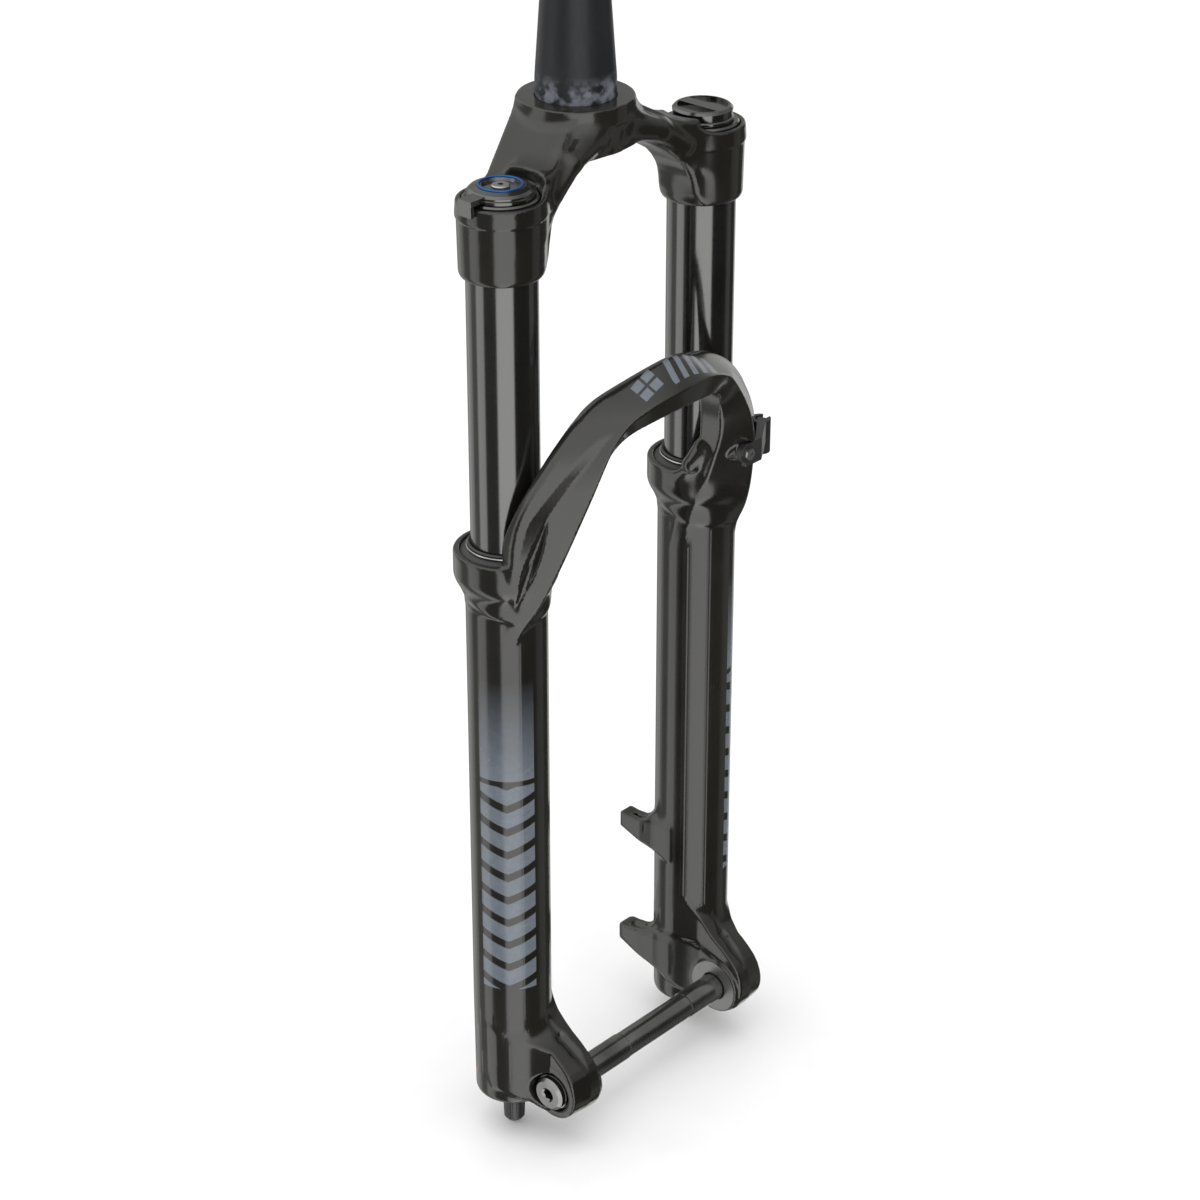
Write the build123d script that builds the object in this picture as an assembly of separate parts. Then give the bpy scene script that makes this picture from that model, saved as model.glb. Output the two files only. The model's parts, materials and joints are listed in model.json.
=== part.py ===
from build123d import *
import math
import os

# Air-sprung mountain-bike suspension fork, one STEP file for each physical piece.
# Millimetres. The origin is the centre of the crown race seat, on the steerer's axis.
# +X points forward, +Y to the rider's left and +Z up the steerer.

# ---------------------------------------------------------------- driving dimensions
AXLE_TO_CROWN = 521.0
AXLE_OFFSET = 51.0
HUB_WIDTH = 110.0
LEG_X = 18.7
LEG_Y = 73.0
TRAVEL = 120.0
RIGHT = -1
LEFT = 1
SIDES = {"right": RIGHT, "left": LEFT}

FIT_GAP = 0.05
RUN_GAP = 0.06

# steerer
STEERER_LENGTH = 200.0
STEERER_R = 14.3
RACE_SEAT_R = 19.9
RACE_SEAT_HEIGHT = 9.0
TAPER_TOP = 88.0
STEERER_FOOT = -22.5
PRESSED_R = 19.6
STEERER_BORE_R = 12.2
STEERER_BASE_BORE_R = 15.6
BORE_TAPER_TOP = 92.0

# crown
PLATFORM_R = 28.8
PLATFORM_DEPTH = 24.0
SOCKET_TOP = -28.0
SOCKET_BAND = -36.5
SOCKET_BOTTOM = -66.4
SOCKET_TOP_R = 21.2
SOCKET_BAND_R = 21.8
SOCKET_FOOT_R = 20.7
CAP_SEAT = -30.0
CAP_POCKET_R = 18.8
ARM_TOP_HEIGHT = 9.3
ARM_FALL_SIDE = 0.576
ARM_FALL_FRONT = 0.117

# upper tubes
TUBE_R = 17.5
TUBE_BORE_R = 15.3
TUBE_BOTTOM = -378.0

# lower casting
LEG_R = 20.6
LEG_FOOT_R = 20.2
LEG_BORE_R = 18.7
LEG_BOTTOMS = {RIGHT: -533.5, LEFT: -543.0}
LEG_FLOOR = -517.0
COLLAR_R = 26.3
COLLAR_TOP = -210.0
COLLAR_STRAIGHT = 13.5
COLLAR_TAPER_END = -236.0
SEAL_POCKET_R = 23.0
SEAL_POCKET_DEPTH = 8.0
FOAM_POCKET_R = 21.4
FOAM_POCKET_END = -229.5
LUG_R = 15.8
LUG_OUTER_Y = 77.8
WEB_INNER_Y = 63.0
HEAD_POCKET_R = 11.2
HEAD_POCKET_Y = -75.2
POST_FACE_X = -14.5
POST_Y = 55.0
POST_WIDTH = 10.0
POST_HEIGHT = 9.6
POST_SPACING = 74.0
UPPER_POST_Z = -436.0
POST_HOLE_R = 3.0
POST_HOLE_DEPTH = 16.0
TYRE_CLEARANCE_R = 376.0
TYRE_HALF_WIDTH = 20.0

# axle
AXLE_R = 7.5
AXLE_WAIST_R = 7.15
AXLE_BORE_R = 5.0
AXLE_HEAD_R = 9.4
AXLE_WAIST = (-21.6, 28.5)
AXLE_END_Y = 76.0

# bushings, seals, shafts
BUSHING_LENGTH = 15.0
BUSHING_TOPS = {"upper": -231.0, "lower": -325.0}
SHAFT_R = 5.0
ADJUSTER_R = 1.5
PISTON_Z = TUBE_BOTTOM + 17.3
SEAL_HEAD_HEIGHT = 16.0
KNOB_Z = -26.6
REBOUND_KNOB_R = 6.0
REBOUND_KNOB_BOTTOM = -555.0
HEX_6 = 6.0
HEX_5 = 5.0
HEX_25 = 2.5

# brake hose guide on the front ridge of the left arch arm
GUIDE_X = 57.6
GUIDE_SCREW_Y = 62.5
GUIDE_SCREW_Z = -193.5
GUIDE_BOSS_R = 5.2
PLATE = 3.0
CLIP_GAP = 0.25
HOSE_X = 42.0
HOSE_Y = 95.8
HOSE_R = 3.1
BARREL_WALL = 2.4
GUIDE_TOP = -190.5
GUIDE_BOTTOM = -209.0
BRIDGE_TOP = -188.4
BRIDGE_BOTTOM = -201.0

# Stations along the arch, from the middle of its top down to the front of the leg. Each has the
# front ridge's (y, z, x), then (offset, x) of the outer edge, the inner edge, the inner and the
# outer rear edge; an offset is measured away from the ridge in the front view.
ARCH_STATIONS = [
    ((0, -130.0, 77.6), (10.5, 62.6), (-10.0, 77.2), (-9.5, 58), (8.5, 57)),
    ((12, -130.8, 77.0), (8.6, 60.0), (-10.0, 76.4), (-9.5, 56.5), (7.0, 55)),
    ((25, -133.8, 74.4), (6.2, 54.0), (-10.2, 73.0), (-9.8, 53.5), (5.2, 50)),
    ((39, -140.8, 69.6), (8.8, 50.2), (-9.4, 66.4), (-9.8, 50), (7.8, 46)),
    ((47.8, -150, 67.8), (12.8, 50.4), (-10.3, 62.2), (-11.5, 47), (11.8, 45.5)),
    ((54.5, -161, 67.0), (16.5, 49.0), (-11.3, 58.3), (-12.8, 44.5), (15.5, 43.5)),
    ((60, -172, 65.6), (19.0, 46.8), (-13.2, 55.0), (-15.0, 42), (18.0, 41.0)),
    ((64.8, -183, 63.4), (22.0, 44.2), (-15.5, 51.2), (-17.4, 39.5), (21.0, 38.5)),
    ((68.5, -194, 60.6), (23.6, 42.2), (-17.0, 46.4), (-18.8, 34), (22.5, 36)),
    ((72.5, -208, 56.4), (20.8, 40.4), (-19.0, 40.0), (-20.6, 28), (19.8, 29)),
    ((76.5, -222, 51.8), (14.6, 38.4), (-23.0, 32.6), (-24.0, 24), (13.8, 26)),
    ((81, -238, 44.6), (5.0, 38.0), (-28.0, 27.0), (-29.0, 22), (4.4, 24)),
    ((85.4, -254, 36.2), (1.2, 34.0), (-32.0, 24.0), (-33.0, 20), (0.9, 22)),
]

pieces = {}


# ---------------------------------------------------------------- helpers
def turned(profile, x=0.0, y=0.0):
    """Solid of revolution about a vertical axis through (x, y), from (radius, z) points."""
    face = Plane.XZ * make_face(Polyline(*profile, close=True))
    return Pos(x, y, 0) * revolve(face, Axis.Z)


def ring(r_out, r_in, z0, z1, x=0.0, y=0.0):
    """Plain ring or tube between two heights."""
    return turned([(r_in, z0), (r_out, z0), (r_out, z1), (r_in, z1)], x, y)


def disc(radius, z0, z1, x=0.0, y=0.0):
    """Plain cylinder between two heights."""
    return Pos(x, y, z0) * Cylinder(radius, z1 - z0, align=(Align.CENTER, Align.CENTER, Align.MIN))


def torus_ring(major, minor, z, x=0.0, y=0.0):
    """O-ring at a height."""
    return Pos(x, y, z) * Torus(major, minor)


def hexagon(across_flats, z0, z1, x=0.0, y=0.0):
    """Hexagonal prism, for drive sockets."""
    sketch = RegularPolygon(across_flats / 2, 6, major_radius=False)
    return Pos(x, y, z0) * extrude(sketch, z1 - z0)


def along_y(solid, x, z):
    """Turns a solid made about +Z so that it lies about +Y, through (x, z)."""
    return Pos(x, 0, z) * Rot(-90, 0, 0) * solid


def side_plate(outline, y0, y1):
    """Plate with a side-view (x, z) outline, between two values of y."""
    face = make_face(Polyline(*outline, close=True))
    plate = extrude(Plane.XZ * face, -(y1 - y0))
    return Pos(0, y0, 0) * plate


def front_plate(outline, x0, x1):
    """Plate with a front-view (y, z) outline, between two values of x."""
    face = make_face(Polyline(*outline, close=True))
    return Pos(x0, 0, 0) * extrude(Plane.YZ * face, x1 - x0)


def plan_plate(outline, z0, z1):
    """Plate with a plan-view (x, y) outline, between two heights."""
    face = make_face(Polyline(*outline, close=True))
    return Pos(0, 0, z0) * extrude(face, z1 - z0)


def both_sides(half):
    """Half an outline followed by its mirror image; points on the middle line are used once."""
    return half + [(-a, b) for a, b in reversed(half) if a != 0]


def leg_y(side):
    return side * LEG_Y


# ---------------------------------------------------------------- steerer and crown
def make_steerer():
    return turned([
        (STEERER_BASE_BORE_R, STEERER_FOOT),
        (PRESSED_R, STEERER_FOOT),
        (PRESSED_R, 0),
        (RACE_SEAT_R, 0),
        (RACE_SEAT_R, RACE_SEAT_HEIGHT),
        (STEERER_R, TAPER_TOP),
        (STEERER_R, STEERER_LENGTH),
        (STEERER_BORE_R, STEERER_LENGTH),
        (STEERER_BORE_R, BORE_TAPER_TOP),
        (STEERER_BASE_BORE_R, RACE_SEAT_HEIGHT),
    ])


def crown_socket(side):
    """Outside of one tube socket, with the flatter band under its lip."""
    return turned([
        (0, SOCKET_BOTTOM),
        (SOCKET_FOOT_R - 1.5, SOCKET_BOTTOM),
        (SOCKET_FOOT_R, SOCKET_BOTTOM + 2.5),
        (SOCKET_BAND_R, SOCKET_BAND),
        (SOCKET_TOP_R, SOCKET_TOP),
        (0, SOCKET_TOP),
    ], LEG_X, leg_y(side))


def crown_arms():
    """Both arms at once: a front view and a plan view of the crown, cut from one block."""
    front = both_sides([
        (0, 0),
        (18, 0),
        (LEG_Y - 8, SOCKET_TOP + 2),
        (LEG_Y, SOCKET_TOP),
        (LEG_Y, -46),
        (54, -42),
        (44, -35),
        (34, -29),
        (22, -PLATFORM_DEPTH),
        (0, -PLATFORM_DEPTH),
    ])
    plan = [
        (-20, 0),
        (-19, 21.7),
        (-9.2, 45),
        (-2.5, LEG_Y - 12),
        (4, LEG_Y),
        (36, LEG_Y),
        (34, LEG_Y - 13),
        (25, 40),
        (18, 22),
        (24, 12),
        (28, 0),
    ]
    outline = plan + [(x, -y) for x, y in reversed(plan[1:-1])]
    return front_plate(front, -PLATFORM_R, 45) & plan_plate(outline, SOCKET_BOTTOM, 2)


def crown_gusset(side):
    """Web under one arm that runs down the inner face of its socket."""
    outline = [
        (side * 30, -27),
        (side * 40, -34),
        (side * 48, -43),
        (side * 52.5, -52),
        (side * 55, SOCKET_BOTTOM + 6),
        (side * LEG_Y, SOCKET_BOTTOM + 6),
        (side * LEG_Y, -27),
    ]
    plan = [
        (7, side * 28),
        (23, side * 28),
        (28.5, side * 40),
        (31.5, side * 53),
        (33, side * LEG_Y),
        (7, side * LEG_Y),
    ]
    return front_plate(outline, 7, 33) & plan_plate(plan, SOCKET_BOTTOM, -20)


def arm_slope_cut(side):
    """What lies above the sloping top face of one arm, outside the race platform."""
    fall = math.atan(ARM_FALL_SIDE)
    lean = math.degrees(math.atan(ARM_FALL_FRONT * math.cos(fall)))
    block = Box(160, 160, 60, align=(Align.CENTER, Align.CENTER, Align.MIN))
    cutter = Rot(-side * math.degrees(fall), 0, 0) * Rot(0, lean, 0) * block
    cutter = Pos(0, 0, ARM_TOP_HEIGHT) * cutter
    half_space = Pos(0, side * 80, 0) * Box(200, 160, 200)
    return (cutter & half_space) - disc(PLATFORM_R, -40, 60)


def make_crown():
    platform = turned([
        (0, -PLATFORM_DEPTH),
        (PLATFORM_R - 5.5, -PLATFORM_DEPTH),
        (PLATFORM_R - 2.5, -PLATFORM_DEPTH + 2.5),
        (PLATFORM_R, -PLATFORM_DEPTH + 10),
        (PLATFORM_R, 0),
        (0, 0),
    ])
    crown = crown_arms() + platform
    for side in SIDES.values():
        crown -= arm_slope_cut(side)
    for side in SIDES.values():
        crown += crown_gusset(side)
        crown += crown_socket(side)
    for side in SIDES.values():
        y = leg_y(side)
        crown -= disc(TUBE_R + FIT_GAP, SOCKET_BOTTOM - 1, CAP_SEAT + 1, LEG_X, y)
        crown -= disc(CAP_POCKET_R, CAP_SEAT, 10, LEG_X, y)
    crown -= disc(PRESSED_R + FIT_GAP, -PLATFORM_DEPTH - 1, 1)
    return crown


def make_upper_tube(side):
    return ring(TUBE_R, TUBE_BORE_R, TUBE_BOTTOM, CAP_SEAT, LEG_X, leg_y(side))


# ---------------------------------------------------------------- caps and knobs
def top_cap(side, stem_r=0.0, stem_top=0.0):
    """Threaded cap: a flange on the tube's end, a plug in its bore and an O-ring groove."""
    groove_z = CAP_SEAT - 6.0
    profile = [
        (0, CAP_SEAT - 14),
        (TUBE_BORE_R - FIT_GAP - 0.8, CAP_SEAT - 14),
        (TUBE_BORE_R - FIT_GAP, CAP_SEAT - 13),
        (TUBE_BORE_R - FIT_GAP, groove_z - 0.9),
        (TUBE_BORE_R - 1.6, groove_z - 0.9),
        (TUBE_BORE_R - 1.6, groove_z + 0.9),
        (TUBE_BORE_R - FIT_GAP, groove_z + 0.9),
        (TUBE_BORE_R - FIT_GAP, CAP_SEAT),
        (CAP_POCKET_R - 0.4, CAP_SEAT),
        (CAP_POCKET_R - 0.4, CAP_SEAT + 2.2),
        (CAP_POCKET_R - 1.2, CAP_SEAT + 3.0),
    ]
    if stem_r:
        profile += [(stem_r, CAP_SEAT + 3.0), (stem_r, stem_top)]
        profile += [(0, stem_top)]
    else:
        profile += [(0, CAP_SEAT + 3.0)]
    return turned(profile, LEG_X, leg_y(side))


def cap_seal(side):
    return torus_ring(TUBE_BORE_R - 0.78, 0.68, CAP_SEAT - 6.0, LEG_X, leg_y(side))


ROD_R = 2.0
COMPRESSION_TUBE_R = 6.0
COMPRESSION_FOOT = -152.0


def make_damper_cap():
    y = leg_y(RIGHT)
    cap = top_cap(RIGHT)
    cap -= disc(ROD_R + RUN_GAP, CAP_SEAT - 20, CAP_SEAT + 5, LEG_X, y)
    cap -= disc(COMPRESSION_TUBE_R + FIT_GAP, CAP_SEAT - 20, CAP_SEAT - 8, LEG_X, y)
    return cap


def make_compression_tube():
    return ring(COMPRESSION_TUBE_R, COMPRESSION_TUBE_R - 1.4, COMPRESSION_FOOT,
                CAP_SEAT - 8 - FIT_GAP, LEG_X, leg_y(RIGHT))


def ported_piston(z0, height, bore_r, side, ports=6):
    """Piston with a ring of flow ports and a ring groove round its middle."""
    y = leg_y(side)
    r_out = TUBE_BORE_R - RUN_GAP
    middle = z0 + height / 2
    piston = turned([
        (bore_r, z0),
        (r_out, z0),
        (r_out, middle - 2.5),
        (r_out - 1.5, middle - 2.5),
        (r_out - 1.5, middle + 2.5),
        (r_out, middle + 2.5),
        (r_out, z0 + height),
        (bore_r, z0 + height),
    ], LEG_X, y)
    for i in range(ports):
        angle = 2 * math.pi * i / ports
        px = LEG_X + 10.2 * math.cos(angle)
        py = y + 10.2 * math.sin(angle)
        piston -= disc(1.9, z0 - 1, z0 + height + 1, px, py)
    return piston


def make_compression_piston():
    return ported_piston(COMPRESSION_FOOT - 12 - FIT_GAP, 12, ROD_R + RUN_GAP, RIGHT)


def make_compression_knob():
    """Round adjuster with a raised rim, a sunk middle and a lever that drops over the crown's lip."""
    y = leg_y(RIGHT)
    knob = turned([
        (ROD_R + FIT_GAP, KNOB_Z),
        (16.8, KNOB_Z),
        (16.8, KNOB_Z + 1.4),
        (15.9, KNOB_Z + 1.8),
        (15.9, KNOB_Z + 2.6),
        (14.6, KNOB_Z + 3.8),
        (11.9, KNOB_Z + 4.8),
        (11.3, KNOB_Z + 4.8),
        (11.3, KNOB_Z + 4.0),
        (9.7, KNOB_Z + 4.0),
        (9.7, KNOB_Z + 4.8),
        (9.2, KNOB_Z + 4.8),
        (8.6, KNOB_Z + 3.4),
        (ROD_R + FIT_GAP, KNOB_Z + 3.4),
    ], LEG_X, y)
    lever_top = side_plate([
        (-4.8, KNOB_Z + 0.9),
        (4.4, KNOB_Z + 0.9),
        (4.0, KNOB_Z + 3.3),
        (-4.0, KNOB_Z + 3.3),
    ], -24.4, -13.5)
    lever_drop = side_plate([
        (-4.6, KNOB_Z - 4.8),
        (4.2, KNOB_Z - 4.8),
        (4.0, KNOB_Z + 3.3),
        (-4.0, KNOB_Z + 3.3),
    ], -24.4, -22.2)
    lever = Pos(LEG_X, y, 0) * (lever_top + lever_drop)
    return knob + lever


def make_compression_ring():
    return turned([
        (9.8, KNOB_Z + 4.0 + FIT_GAP),
        (11.2, KNOB_Z + 4.0 + FIT_GAP),
        (11.2, KNOB_Z + 5.1),
        (10.9, KNOB_Z + 5.4),
        (10.1, KNOB_Z + 5.4),
        (9.8, KNOB_Z + 5.1),
    ], LEG_X, leg_y(RIGHT))


def make_compression_rod():
    """Adjuster rod: a round shaft down the damper and a drive head in the knob's middle."""
    y = leg_y(RIGHT)
    rod = disc(ROD_R, COMPRESSION_FOOT - 10, KNOB_Z + 3.4, LEG_X, y)
    head = turned([
        (0, KNOB_Z + 3.4 + FIT_GAP),
        (4.6, KNOB_Z + 3.4 + FIT_GAP),
        (4.6, KNOB_Z + 4.4),
        (4.0, KNOB_Z + 4.9),
        (0, KNOB_Z + 4.9),
    ], LEG_X, y)
    neck = disc(ROD_R, KNOB_Z + 3.0, KNOB_Z + 4.0, LEG_X, y)
    return rod + neck + head - hexagon(HEX_25, KNOB_Z + 2.6, KNOB_Z + 6, LEG_X, y)


STEM_R = 4.0
STEM_TOP = -22.9
CORE_R = 2.6
CAP_TOP = -19.6
CAP_COVER_R = 15.7


def make_air_cap():
    y = leg_y(LEFT)
    cap = top_cap(LEFT, STEM_R, STEM_TOP)
    cap -= disc(CORE_R + FIT_GAP, CAP_SEAT - 4, STEM_TOP + 1, LEG_X, y)
    cap -= disc(1.2, CAP_SEAT - 20, CAP_SEAT, LEG_X, y)
    return cap


def make_valve_core():
    y = leg_y(LEFT)
    core = ring(CORE_R, 0.9 + RUN_GAP, CAP_SEAT - 3.9, STEM_TOP - 0.5, LEG_X, y)
    return core


def make_valve_pin():
    y = leg_y(LEFT)
    return turned([
        (0, CAP_SEAT - 4.0),
        (0.9, CAP_SEAT - 4.0),
        (0.9, STEM_TOP - 0.3),
        (0.6, STEM_TOP),
        (0, STEM_TOP),
    ], LEG_X, y)


def make_valve_cap():
    """Cover over the valve: two D-shaped finger recesses leave a bar to grip."""
    y = leg_y(LEFT)
    foot = CAP_SEAT + 3.4
    cap = turned([
        (0, foot),
        (CAP_COVER_R, foot),
        (CAP_COVER_R, foot + 1.2),
        (CAP_COVER_R - 0.8, foot + 1.8),
        (CAP_COVER_R - 0.4, CAP_TOP - 1.4),
        (CAP_COVER_R - 1.6, CAP_TOP - 0.2),
        (CAP_COVER_R - 2.2, CAP_TOP),
        (0, CAP_TOP),
    ], LEG_X, y)
    cap -= disc(STEM_R + 0.6, foot - 1, STEM_TOP + 1.2, LEG_X, y)
    cap -= disc(7.6, foot - 1, foot + 2.0, LEG_X, y)
    recess = disc(CAP_COVER_R - 3.0, CAP_TOP - 1.6, CAP_TOP + 1)
    recess -= Box(60, 7.0, 10)
    recess -= Pos(0, 0, CAP_TOP) * Box(60, 7.0, 10)
    return cap - Pos(LEG_X, y, 0) * recess


def make_valve_cap_seal():
    return torus_ring(6.3, 0.9, CAP_SEAT + 3.95, LEG_X, leg_y(LEFT))


def make_volume_token(z_top):
    """Threaded spacer with a hexagonal socket in its underside."""
    y = leg_y(LEFT)
    token = turned([
        (0, z_top - 14),
        (12.2, z_top - 14),
        (13.0, z_top - 13),
        (13.0, z_top - 1),
        (12.2, z_top),
        (0, z_top),
    ], LEG_X, y)
    return token - hexagon(8, z_top - 15, z_top - 7, LEG_X, y)


# ---------------------------------------------------------------- seal heads, shafts, pistons
def make_seal_head(side):
    """Plug in the foot of the upper tube that the shaft slides through."""
    z0 = TUBE_BOTTOM + 3.0
    return turned([
        (SHAFT_R + RUN_GAP, z0),
        (11.0, z0),
        (TUBE_BORE_R - FIT_GAP, z0 + 1.0),
        (TUBE_BORE_R - FIT_GAP, z0 + SEAL_HEAD_HEIGHT - 6),
        (TUBE_BORE_R - 1.5, z0 + SEAL_HEAD_HEIGHT - 6),
        (TUBE_BORE_R - 1.5, z0 + SEAL_HEAD_HEIGHT - 3),
        (TUBE_BORE_R - FIT_GAP, z0 + SEAL_HEAD_HEIGHT - 3),
        (TUBE_BORE_R - FIT_GAP, z0 + SEAL_HEAD_HEIGHT - 8 + 6),
        (10.0, z0 + SEAL_HEAD_HEIGHT - 8 + 6),
        (8.0, z0 + SEAL_HEAD_HEIGHT - 8 + 7),
        (SHAFT_R + RUN_GAP, z0 + SEAL_HEAD_HEIGHT - 8 + 7),
    ], LEG_X, leg_y(side))


def make_snap_ring(side):
    """Internal retaining ring with a gap and two eared ends."""
    y = leg_y(side)
    z0 = TUBE_BOTTOM + 1.4
    clip = ring(TUBE_BORE_R - FIT_GAP, TUBE_BORE_R - 2.0, z0, z0 + 1.4)
    clip -= Pos(TUBE_BORE_R, 0, z0) * Box(10, 7, 10)
    for lean in (-1, 1):
        ear = disc(1.8, z0, z0 + 1.4, 12.6, lean * 4.4) - disc(0.7, z0 - 1, z0 + 3, 12.6, lean * 4.4)
        clip += ear
    return Pos(LEG_X, y, 0) * clip


def make_shaft(side):
    y = leg_y(side)
    foot = LEG_FLOOR + 0.2
    shaft = turned([
        (0, foot),
        (7.5, foot),
        (7.5, foot + 9),
        (SHAFT_R, foot + 10),
        (SHAFT_R, PISTON_Z + 18),
        (0, PISTON_Z + 18),
    ], LEG_X, y)
    shaft -= disc(BOLT_R + FIT_GAP, foot - 1, foot + 14, LEG_X, y)
    if side == RIGHT:
        shaft -= disc(ADJUSTER_R + RUN_GAP, foot, PISTON_Z + 19, LEG_X, y)
    return shaft


def make_rebound_piston():
    return ported_piston(PISTON_Z + 5, 12, SHAFT_R + FIT_GAP, RIGHT)


def piston_band(z_middle, side, height):
    r_out = TUBE_BORE_R - RUN_GAP
    return ring(r_out + 0.02, r_out - 1.5 + FIT_GAP, z_middle - height / 2, z_middle + height / 2,
                LEG_X, leg_y(side))


def make_air_piston():
    y = leg_y(LEFT)
    r_out = TUBE_BORE_R - RUN_GAP
    z0 = PISTON_Z + 5
    return turned([
        (SHAFT_R + FIT_GAP, z0),
        (9.0, z0),
        (r_out, z0 + 2),
        (r_out, z0 + 4),
        (r_out - 2.2, z0 + 4),
        (r_out - 2.2, z0 + 8.4),
        (r_out, z0 + 8.4),
        (r_out, z0 + 11),
        (r_out - 1, z0 + 12),
        (SHAFT_R + FIT_GAP, z0 + 12),
    ], LEG_X, y)


def make_air_piston_seal():
    """Four-lobed seal ring in the air piston's groove."""
    y = leg_y(LEFT)
    r_out = TUBE_BORE_R - RUN_GAP
    z0 = PISTON_Z + 9.0
    return turned([
        (r_out - 2.1, z0 + 0.2),
        (r_out - 1.1, z0 + 0.9),
        (r_out, z0 + 0.2),
        (r_out + 0.02, z0 + 1.3),
        (r_out - 0.7, z0 + 2.2),
        (r_out + 0.02, z0 + 3.1),
        (r_out, z0 + 4.2),
        (r_out - 1.1, z0 + 3.5),
        (r_out - 2.1, z0 + 4.2),
        (r_out - 1.6, z0 + 2.2),
    ], LEG_X, y)


def bumper(side, z0, height, r_out):
    """Rubber stop round a shaft, waisted in the middle."""
    return turned([
        (SHAFT_R + FIT_GAP, z0),
        (r_out - 0.8, z0),
        (r_out, z0 + 1),
        (r_out - 0.8, z0 + height / 2),
        (r_out, z0 + height - 1),
        (r_out - 0.8, z0 + height),
        (SHAFT_R + FIT_GAP, z0 + height),
    ], LEG_X, leg_y(side))


# ---------------------------------------------------------------- lower casting
BOLT_R = 4.0
BOLT_POCKET_R = 10.0
WASHER_HEIGHT = 1.2


def bolt_seat(side):
    """Height of the face that a foot bolt's washer is pressed against."""
    return LEG_BOTTOMS[side] + 5.0


def leg_outside(side):
    bottom = LEG_BOTTOMS[side]
    return turned([
        (0, bottom),
        (LEG_FOOT_R - 4.0, bottom),
        (LEG_FOOT_R - 1.2, bottom + 1.2),
        (LEG_FOOT_R, bottom + 4.0),
        (LEG_R, bottom + 60),
        (LEG_R, COLLAR_TAPER_END),
        (COLLAR_R, COLLAR_TOP - COLLAR_STRAIGHT),
        (COLLAR_R, COLLAR_TOP - 1.0),
        (COLLAR_R - 1.0, COLLAR_TOP),
        (0, COLLAR_TOP),
    ], LEG_X, leg_y(side))


def arch_sections():
    """Five-cornered sections across the left half of the arch."""
    ridge = [Vector(y, z, 0) for (y, z, x), *corners in ARCH_STATIONS]
    for i, ((y, z, x), *corners) in enumerate(ARCH_STATIONS):
        before = ridge[i - 1] if i > 0 else Vector(-ridge[1].X, ridge[1].Y, 0)
        after = ridge[min(i + 1, len(ridge) - 1)]
        along = (after - before).normalized()
        outer, inner, inner_rear, outer_rear = corners
        ring = [outer, (0, x), inner, inner_rear, outer_rear]
        points = [(cx, y - offset * along.Y, z + offset * along.X) for offset, cx in ring]
        yield make_face(Polyline(*points, close=True))


def make_arch():
    """Arch whose arms have a front ridge, with a roof-like face on each side of it."""
    half = loft(list(arch_sections()), ruled=True)
    body = half + mirror(half, about=Plane.XZ)
    tyre = disc(TYRE_CLEARANCE_R, -TYRE_HALF_WIDTH, TYRE_HALF_WIDTH)
    body -= along_y(tyre, AXLE_OFFSET, -AXLE_TO_CROWN)
    return body


def dropout(side):
    """Lug round the axle's end and the narrower web that joins it to the leg."""
    low, high = sorted((side * WEB_INNER_Y, side * LUG_OUTER_Y))
    web = side_plate([
        (LEG_X - 8, -AXLE_TO_CROWN + 53),
        (LEG_X + 19.0, -AXLE_TO_CROWN + 43),
        (AXLE_OFFSET + 4, -AXLE_TO_CROWN + 17.5),
        (AXLE_OFFSET + 12.5, -AXLE_TO_CROWN + 9.5),
        (AXLE_OFFSET + 12.5, -AXLE_TO_CROWN - 9.5),
        (AXLE_OFFSET + 1.0, -AXLE_TO_CROWN - LUG_R),
        (AXLE_OFFSET - 14, -AXLE_TO_CROWN - 13.5),
        (LEG_X - 8, -AXLE_TO_CROWN - 10),
    ], low, high)
    low, high = sorted((side * HUB_WIDTH / 2, side * LUG_OUTER_Y))
    lug = along_y(disc(LUG_R, low, high), AXLE_OFFSET, -AXLE_TO_CROWN)
    return web + lug


def brake_post(z):
    """Post with a flat rear face and gussets into the leg above and below."""
    half = POST_HEIGHT / 2
    return side_plate([
        (POST_FACE_X, z - half),
        (POST_FACE_X, z + half),
        (POST_FACE_X + 5, z + half + 3.2),
        (POST_FACE_X + 14, z + half + 5.0),
        (POST_FACE_X + 20, z + half + 13),
        (POST_FACE_X + 22, z + half + 26),
        (LEG_X, z + half + 26),
        (LEG_X, z - half - 5),
    ], POST_Y - POST_WIDTH / 2, POST_Y + POST_WIDTH / 2)


def leg_bore(side):
    """Everything hollow inside one leg: seal seat, foam groove, bore, foot bolt hole."""
    x, y = LEG_X, leg_y(side)
    bore = disc(LEG_BORE_R, LEG_FLOOR, COLLAR_TOP + 5, x, y)
    bore += disc(SEAL_POCKET_R, COLLAR_TOP - SEAL_POCKET_DEPTH, COLLAR_TOP + 60, x, y)
    bore += disc(FOAM_POCKET_R, FOAM_POCKET_END, COLLAR_TOP, x, y)
    bore += disc(BOLT_R + 0.3, LEG_BOTTOMS[side] - 5, LEG_FLOOR + 1, x, y)
    bore += disc(BOLT_POCKET_R, LEG_BOTTOMS[side] - 5, bolt_seat(side), x, y)
    return bore


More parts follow.
